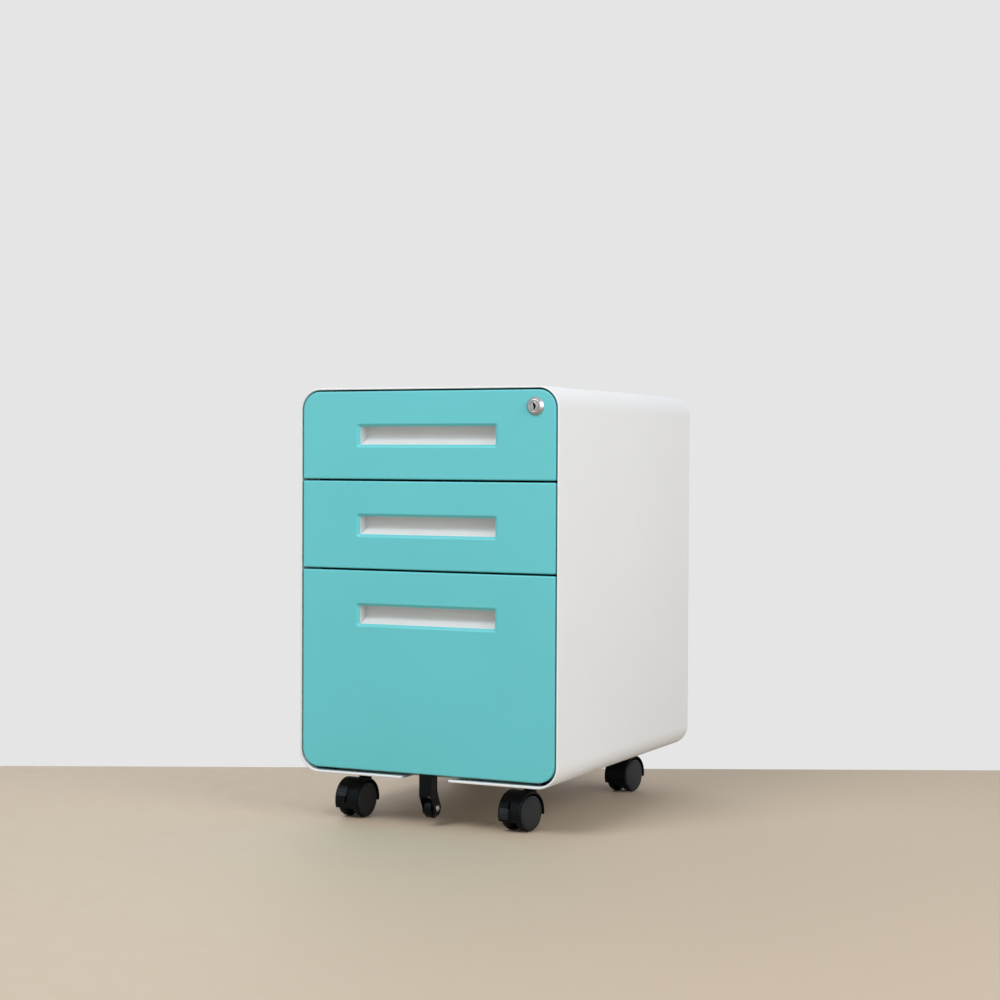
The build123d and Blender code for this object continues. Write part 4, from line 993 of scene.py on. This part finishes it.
# Lock bar: a flat zinc-plated strip that slides in two straps on the right front post. The cam's
# pin lifts it, and its fingers then stand in front of the trays' catches.
for node, body in (("lock_bar", "lock_bar_strip"), ("lock_bar_guides", "cabinet")):
    eased_copy(node, "plated", zinc_steel, body, "zinc_steel", edge=0.25 * mm)

# Anti-tip wheel: a black-coated bent bracket screwed under the file front, with a small nylon roller
# on a headed zinc-plated pin. It stops the cabinet from tipping when the file drawer is out.
BLACK = (0.0022, 0.0030, 0.0035, 1)
COOL = (0.75, 0.93, 1.0, 1)
black_coat = finish(
    "black_coat", coat_group, 0.06 * mm,
    {"Colour": BLACK, "Gloss Roughness": 0.36, "Tone Drift": 0.15, "Peel Scale": 500.0},
    Specular_IOR_Level=0.13, Specular_Tint=COOL,
)
black_plastic = finish(
    "black_plastic", mould_group, 0.03 * mm,
    {"Colour": BLACK, "Gloss Roughness": 0.40, "Tone Drift": 0.12},
    Specular_IOR_Level=0.13, Specular_Tint=COOL,
)
TIP_AXLE = (0, -229 * mm, 25 * mm)
TIP_HALF = 9.3 * mm
TIP_WHEEL_R = 13.8 * mm
TIP_RIM_HALF = 5.3 * mm
TIP_HUB_HALF = 7.45 * mm
TIP_AXLE_R = 2.5 * mm
TIP_HEAD_R = 4.2 * mm
TIP_HEAD = 1.3 * mm
ACROSS = (1, 0, 0)
eased_copy(
    "anti_tip_bracket", "coated", black_coat, "file_drawer", "black_coat", edge=0.6 * mm, rounds=3
)

# half of the pin, with a domed and dimpled head, and half of the roller, with a hub and a rim
tip_end = TIP_HALF + TIP_HEAD
half_pin = [
    (TIP_HALF, TIP_AXLE_R), (TIP_HALF, TIP_HEAD_R), (TIP_HALF + 0.4 * mm, TIP_HEAD_R),
    (TIP_HALF + 0.9 * mm, TIP_HEAD_R - 0.5 * mm), (tip_end, TIP_HEAD_R - 1.5 * mm),
    (tip_end, 1.2 * mm), (tip_end - 0.5 * mm, 0.8 * mm), (tip_end - 0.5 * mm, 0),
]
half_roller = [
    (TIP_HUB_HALF, TIP_AXLE_R + 0.05 * mm), (TIP_HUB_HALF, 4.3 * mm),
    (TIP_HUB_HALF - 0.3 * mm, 4.6 * mm), (TIP_RIM_HALF, 4.6 * mm),
    (TIP_RIM_HALF - 0.6 * mm, 5.4 * mm), (TIP_RIM_HALF - 0.6 * mm, 10.6 * mm),
    (TIP_RIM_HALF, 11.2 * mm), (TIP_RIM_HALF, TIP_WHEEL_R - 1.2 * mm),
    (TIP_RIM_HALF - 0.35 * mm, TIP_WHEEL_R - 0.35 * mm), (TIP_RIM_HALF - 1.2 * mm, TIP_WHEEL_R),
]
pin_mesh = bmesh.new()
lathe(pin_mesh, [(-w, r) for w, r in half_pin[::-1]] + half_pin, TIP_AXLE, ACROSS, steps=40)
piece("anti_tip_axle_plated", pin_mesh, zinc_steel, "file_drawer", "zinc_steel", ["anti_tip_axle"])
roller_mesh = bmesh.new()
roller_run = half_roller + [(-w, r) for w, r in half_roller[::-1]]
lathe(roller_mesh, roller_run, TIP_AXLE, ACROSS, closed=True)
piece(
    "anti_tip_wheel_moulded", roller_mesh, black_plastic, "anti_tip_roller", "black_plastic",
    ["anti_tip_wheel"],
)

# Caster stems and nuts: zinc-plated pins with a collar under the case floor, nutted inside the
# channels. Each caster's hood turns on the lower end of its stem.
for node in ("caster_stems", "caster_nuts"):
    eased_copy(node, "plated", zinc_steel, "cabinet", "zinc_steel", edge=0.25 * mm)

# Casters: hooded twin wheels moulded in black nylon, the stem behind the axle so that they trail.
# Each wheel has a snapped-in cover disc of a slightly greyer plastic; the front pair has a brake
# lever with a ridged pad.
WHEEL_R = 25 * mm
STEM_TRAIL = 20 * mm
WHEEL_IN = 3.6 * mm
WHEEL_FACE = 18.0 * mm
WHEEL_DOME = 18.9 * mm
WHEEL_ROUND = 4.0 * mm
WHEEL_INNER_ROUND = 7.5 * mm
WHEEL_STEPS = 72
AXLE_BORE = 3.05 * mm
DISC_SEAT = 16.0 * mm
DISC_SPLIT = 50
DISC_DOME_SHARES = (0.2, 0.45, 0.7, 0.88, 0.97, 1.0)
GROOVE = 0.7 * mm
DISC_GREY = (0.0155, 0.0170, 0.0190, 1)
grey_plastic = finish(
    "grey_plastic", mould_group, 0.03 * mm,
    {"Colour": DISC_GREY, "Gloss Roughness": 0.44, "Tone Drift": 0.08},
    Specular_IOR_Level=0.3, Specular_Tint=COOL,
)
LEVER_UP = 154
LEVER_DOWN = 178
LEVER_HALF = 1.2 * mm
LEVER_ARM_HALF = 3.2 * mm
LEVER_HUB_R = 6.0 * mm
LEVER_LAP = 1 * mm
PAD_IN = 30.0 * mm
PAD_OUT = 33.0 * mm
PAD_GROOVE = 30.9 * mm
PAD_ANGLE = 13
PAD_INNER_END = -13.8 * mm
PAD_RIDGES = 5
PAD_RIDGE_SHARE = 0.42
lever_plastic = finish(
    "lever_plastic", mould_group, 0.02 * mm,
    {"Colour": (0.010, 0.0115, 0.013, 1), "Gloss Roughness": 0.30, "Tone Drift": 0.08},
    Specular_IOR_Level=0.5, Specular_Tint=COOL,
)

# each caster's name, stem, turn in degrees and, where it has a brake, the lever's angle
CASTERS = (
    ("front_left", -STEM_X, STEM_FRONT, -5, LEVER_UP),
    ("front_right", STEM_X, STEM_FRONT, -12, LEVER_DOWN),
    ("rear_left", -STEM_X, STEM_REAR, -16, None),
    ("rear_right", STEM_X, STEM_REAR, -8.5, None),
)


def tread(turned, outer):
    """A point on the tread's rounded edge, from its crown at 0 degrees down to its face at 90."""
    a = radians(turned)
    bend = WHEEL_ROUND if outer else WHEEL_INNER_ROUND
    w = bend * (1 - sin(a))
    return (WHEEL_FACE - w if outer else WHEEL_IN + w, WHEEL_R - bend * (1 - cos(a)))


def brake_lever(hub, along, behind, angle):
    """A lever on the axle: an eye, a flat arm through the hood's slot and a pad with ridges across."""
    bm = bmesh.new()

    def at(r, turned, w):
        a = radians(turned)
        return hub + behind * (r * cos(a)) + Vector((0, 0, r * sin(a))) + along * w

    def slab(points, low, high):
        capped(bm, [[bm.verts.new(at(r, a, w)) for r, a in points] for w in (low, high)])

    eye_run = [
        (-LEVER_HALF, AXLE_BORE), (-LEVER_HALF, LEVER_HUB_R),
        (LEVER_HALF, LEVER_HUB_R), (LEVER_HALF, AXLE_BORE),
    ]
    lathe(bm, eye_run, hub, along, steps=40, closed=True)
    root = degrees(asin(LEVER_ARM_HALF / LEVER_HUB_R))
    tip = degrees(asin(LEVER_ARM_HALF / PAD_IN))
    arm_in, arm_out = LEVER_HUB_R - LEVER_LAP, PAD_IN + LEVER_LAP
    arm = [
        (arm_in, angle - root), (arm_out, angle - tip),
        (arm_out, angle + tip), (arm_in, angle + root),
    ]
    slab(arm, -LEVER_HALF, LEVER_HALF)
    pitch = 2 * PAD_ANGLE / (PAD_RIDGES - 1 + PAD_RIDGE_SHARE)
    rim = []
    under = []
    for i in range(PAD_RIDGES):
        low = angle - PAD_ANGLE + pitch * i
        high = low + pitch * PAD_RIDGE_SHARE
        rim += [(PAD_GROOVE, low), (PAD_OUT, low), (PAD_OUT, high), (PAD_GROOVE, high)]
        under += [(PAD_IN, low), (PAD_IN, high)]
    slab(rim + under[::-1], PAD_INNER_END, LEVER_HALF)
    return bm


# sections of the tyre, from the bore round the tread to the disc's seat, and of the cover disc
groove_r = WHEEL_R - 1.1 * WHEEL_ROUND
groove_in = groove_r - GROOVE
split_w, split_r = tread(DISC_SPLIT, True)
seat_r = split_r - 0.6 * mm
tyre_run = [(WHEEL_IN, AXLE_BORE)] + [tread(90 - 15 * i, False) for i in range(7)]
tyre_run += [tread(DISC_SPLIT * i / 4, True) for i in range(5)]
tyre_run += [(split_w - 0.5 * mm, split_r - 0.25 * mm), (DISC_SEAT, seat_r), (DISC_SEAT, AXLE_BORE)]
disc_run = [(DISC_SEAT, 0), (DISC_SEAT, seat_r), (split_w - 0.4 * mm, split_r - 0.45 * mm)]
disc_run += [tread(DISC_SPLIT + 3 + (87 - DISC_SPLIT) * i / 4, True) for i in range(5)]
groove_foot = (WHEEL_FACE - GROOVE, groove_r - GROOVE / 2)
disc_run += [(WHEEL_FACE, groove_r), groove_foot, (WHEEL_FACE, groove_in)]
for share in DISC_DOME_SHARES:
    disc_run.append((WHEEL_FACE + (WHEEL_DOME - WHEEL_FACE) * share, groove_in * (1 - share) ** 0.5))
for name, x, y, turn, braked in CASTERS:
    along = Vector((cos(radians(turn)), sin(radians(turn)), 0))
    behind = Vector((-along.y, along.x, 0))
    hub = Vector((x, y, WHEEL_R)) - behind * STEM_TRAIL
    caster = f"{name}_caster"
    eased_copy(f"{name}_caster_hood", "moulded", black_plastic, caster, "black_plastic", edge=0.3 * mm)
    eased_copy(f"{name}_axle", "plated", zinc_steel, caster, "zinc_steel", edge=0.3 * mm)
    for hand, side in HANDS:
        roller = f"{name}_{hand}_roller"
        tyre_mesh = bmesh.new()
        lathe(tyre_mesh, tyre_run, hub, along * side, steps=WHEEL_STEPS, closed=True)
        piece(
            f"{name}_{hand}_wheel_moulded", tyre_mesh, black_plastic, roller, "grey_plastic",
            [f"{name}_{hand}_wheel"],
        )
        disc_mesh = bmesh.new()
        lathe(disc_mesh, disc_run, hub, along * side, steps=WHEEL_STEPS)
        piece(f"{name}_{hand}_cover_disc", disc_mesh, grey_plastic, roller, "grey_plastic")
    if braked:
        piece(
            f"{name}_brake_lever_moulded", brake_lever(hub, along, behind, braked), lever_plastic,
            f"{name}_brake", "black_plastic", [f"{name}_brake_lever"], edge=0.2 * mm,
        )

# Floor, light and camera: a plain pale floor that fades into a pale surround, a backdrop of the same
# tone behind the cabinet, three broad soft lamps at the front left, the right and the rear left, and
# the view that the picture was taken from.
CAMERA_AT = Vector((1.2708, -2.7071, 0.5014))
YAW, PITCH, ROLL = radians(-25.26), radians(-1.118), radians(0.259)
LENS = 73.36
SENSOR = 36
FLOOR_R = 6.0
FLOOR_FADE = (2.2, 4.5)
FLOOR_TONE = (0.48, 0.398, 0.305, 1)
BACKDROP_AT = 3.31
BACKDROP_HALF = 4.0
SURROUND = (0.785, 0.785, 0.79, 1)
AMBIENT = 0.43


def seen_through(coat, share):
    """Let a finish give way to what lies behind it, as far as a share from 0 to 1 says."""
    tree = coat.node_tree
    end = tree.nodes["Material Output"]
    solid = end.inputs["Surface"].links[0].from_socket
    clear = add(tree, "ShaderNodeBsdfTransparent").outputs["BSDF"]
    feed(tree, end, Surface=add(tree, "ShaderNodeMixShader", share, solid, clear).outputs["Shader"])


floor_paper = finish(
    "floor_paper", mould_group, 0.1 * mm,
    {"Colour": FLOOR_TONE, "Gloss Roughness": 0.7, "Tone Drift": 0.01, "Grain Scale": 300.0},
)
tree = floor_paper.node_tree
place = add(tree, "ShaderNodeTexCoord").outputs["Object"]
reach = add(tree, "ShaderNodeVectorMath", place, operation="LENGTH").outputs["Value"]
seen_through(floor_paper, spread(tree, reach, *FLOOR_FADE, 0, 1))
floor_mesh = bmesh.new()
bmesh.ops.create_circle(floor_mesh, cap_ends=True, segments=96, radius=FLOOR_R)
coated("studio_floor", floor_mesh, floor_paper)

# the backdrop shows only from the front, and only to the camera, so it takes no light from the cabinet
backdrop_paper = bpy.data.materials.new("backdrop_paper")
backdrop_paper.use_nodes = True
tree = backdrop_paper.node_tree
feed(
    tree, tree.nodes["Principled BSDF"], Base_Color=(0, 0, 0, 1), Specular_IOR_Level=0.0,
    Emission_Color=SURROUND, Emission_Strength=1.0,
)
rays = add(tree, "ShaderNodeLightPath").outputs
looked_at = add(tree, "ShaderNodeNewGeometry").outputs
hidden = reckon(tree, "SUBTRACT", 1.0, rays["Is Camera Ray"])
seen_through(backdrop_paper, reckon(tree, "MAXIMUM", hidden, looked_at["Backfacing"]))
sight = Vector((sin(YAW), cos(YAW), 0))
beside = Vector((sight.y, -sight.x, 0)) * BACKDROP_HALF
rising = Vector((0, 0, BACKDROP_HALF))
backdrop_foot = CAMERA_AT.to_2d().to_3d() + sight * BACKDROP_AT
backdrop_mesh = bmesh.new()
backdrop_mesh.faces.new([
    backdrop_mesh.verts.new(backdrop_foot + corner)
    for corner in (-beside, beside, beside + rising, rising - beside)
])
coated("studio_backdrop", backdrop_mesh, backdrop_paper)

world = bpy.data.worlds.new("studio")
world.use_nodes = True
tree = world.node_tree
lit = feed(tree, tree.nodes["Background"], Color=(1, 1, 1, 1), Strength=AMBIENT)
seen = add(tree, "ShaderNodeBackground", Color=SURROUND, Strength=1.0)
rays = add(tree, "ShaderNodeLightPath").outputs
looked = reckon(tree, "MAXIMUM", rays["Is Camera Ray"], rays["Is Glossy Ray"])
looked = reckon(tree, "MAXIMUM", looked, rays["Is Transmission Ray"])
mixed = add(
    tree, "ShaderNodeMixShader", looked, lit.outputs["Background"], seen.outputs["Background"]
)
feed(tree, tree.nodes["World Output"], Surface=mixed.outputs["Shader"])
bpy.context.scene.world = world

# each lamp's name, place, power in watts and width in metres
LAMPS = (
    ("high_front_lamp", Vector((-0.6, -2.4, 2.8)), 66, 1.7),
    ("right_fill_lamp", Vector((2.65, -0.9, 1.4)), 46, 2.2),
    ("rear_left_fill_lamp", Vector((-2.1, 2.1, 1.7)), 26, 2.6),
)
LAMP_TO = Vector((0, -0.1, 0.33))
for name, lamp_at, watts, width in LAMPS:
    lamp_data = bpy.data.lights.new(name, "AREA")
    lamp_data.shape = "DISK"
    lamp_data.size = width
    lamp_data.energy = watts
    lamp = shown(name, lamp_data)
    lamp.location = lamp_at
    lamp.rotation_euler = (LAMP_TO - lamp_at).to_track_quat("-Z", "Y").to_euler()

ahead = Vector((sin(YAW) * cos(PITCH), cos(YAW) * cos(PITCH), sin(PITCH)))
level = Vector((cos(YAW), -sin(YAW), 0))
upright = level.cross(ahead)
right = level * cos(ROLL) + upright * sin(ROLL)
top = upright * cos(ROLL) - level * sin(ROLL)
camera_data = bpy.data.cameras.new("photo_view")
camera_data.sensor_width = SENSOR
camera_data.lens = LENS
camera = shown("photo_view", camera_data)
turned_to = Matrix((right, top, -ahead)).transposed().to_4x4()
camera.matrix_world = Matrix.Translation(CAMERA_AT) @ turned_to
bpy.context.scene.camera = camera
bpy.context.scene.view_settings.view_transform = "Standard"
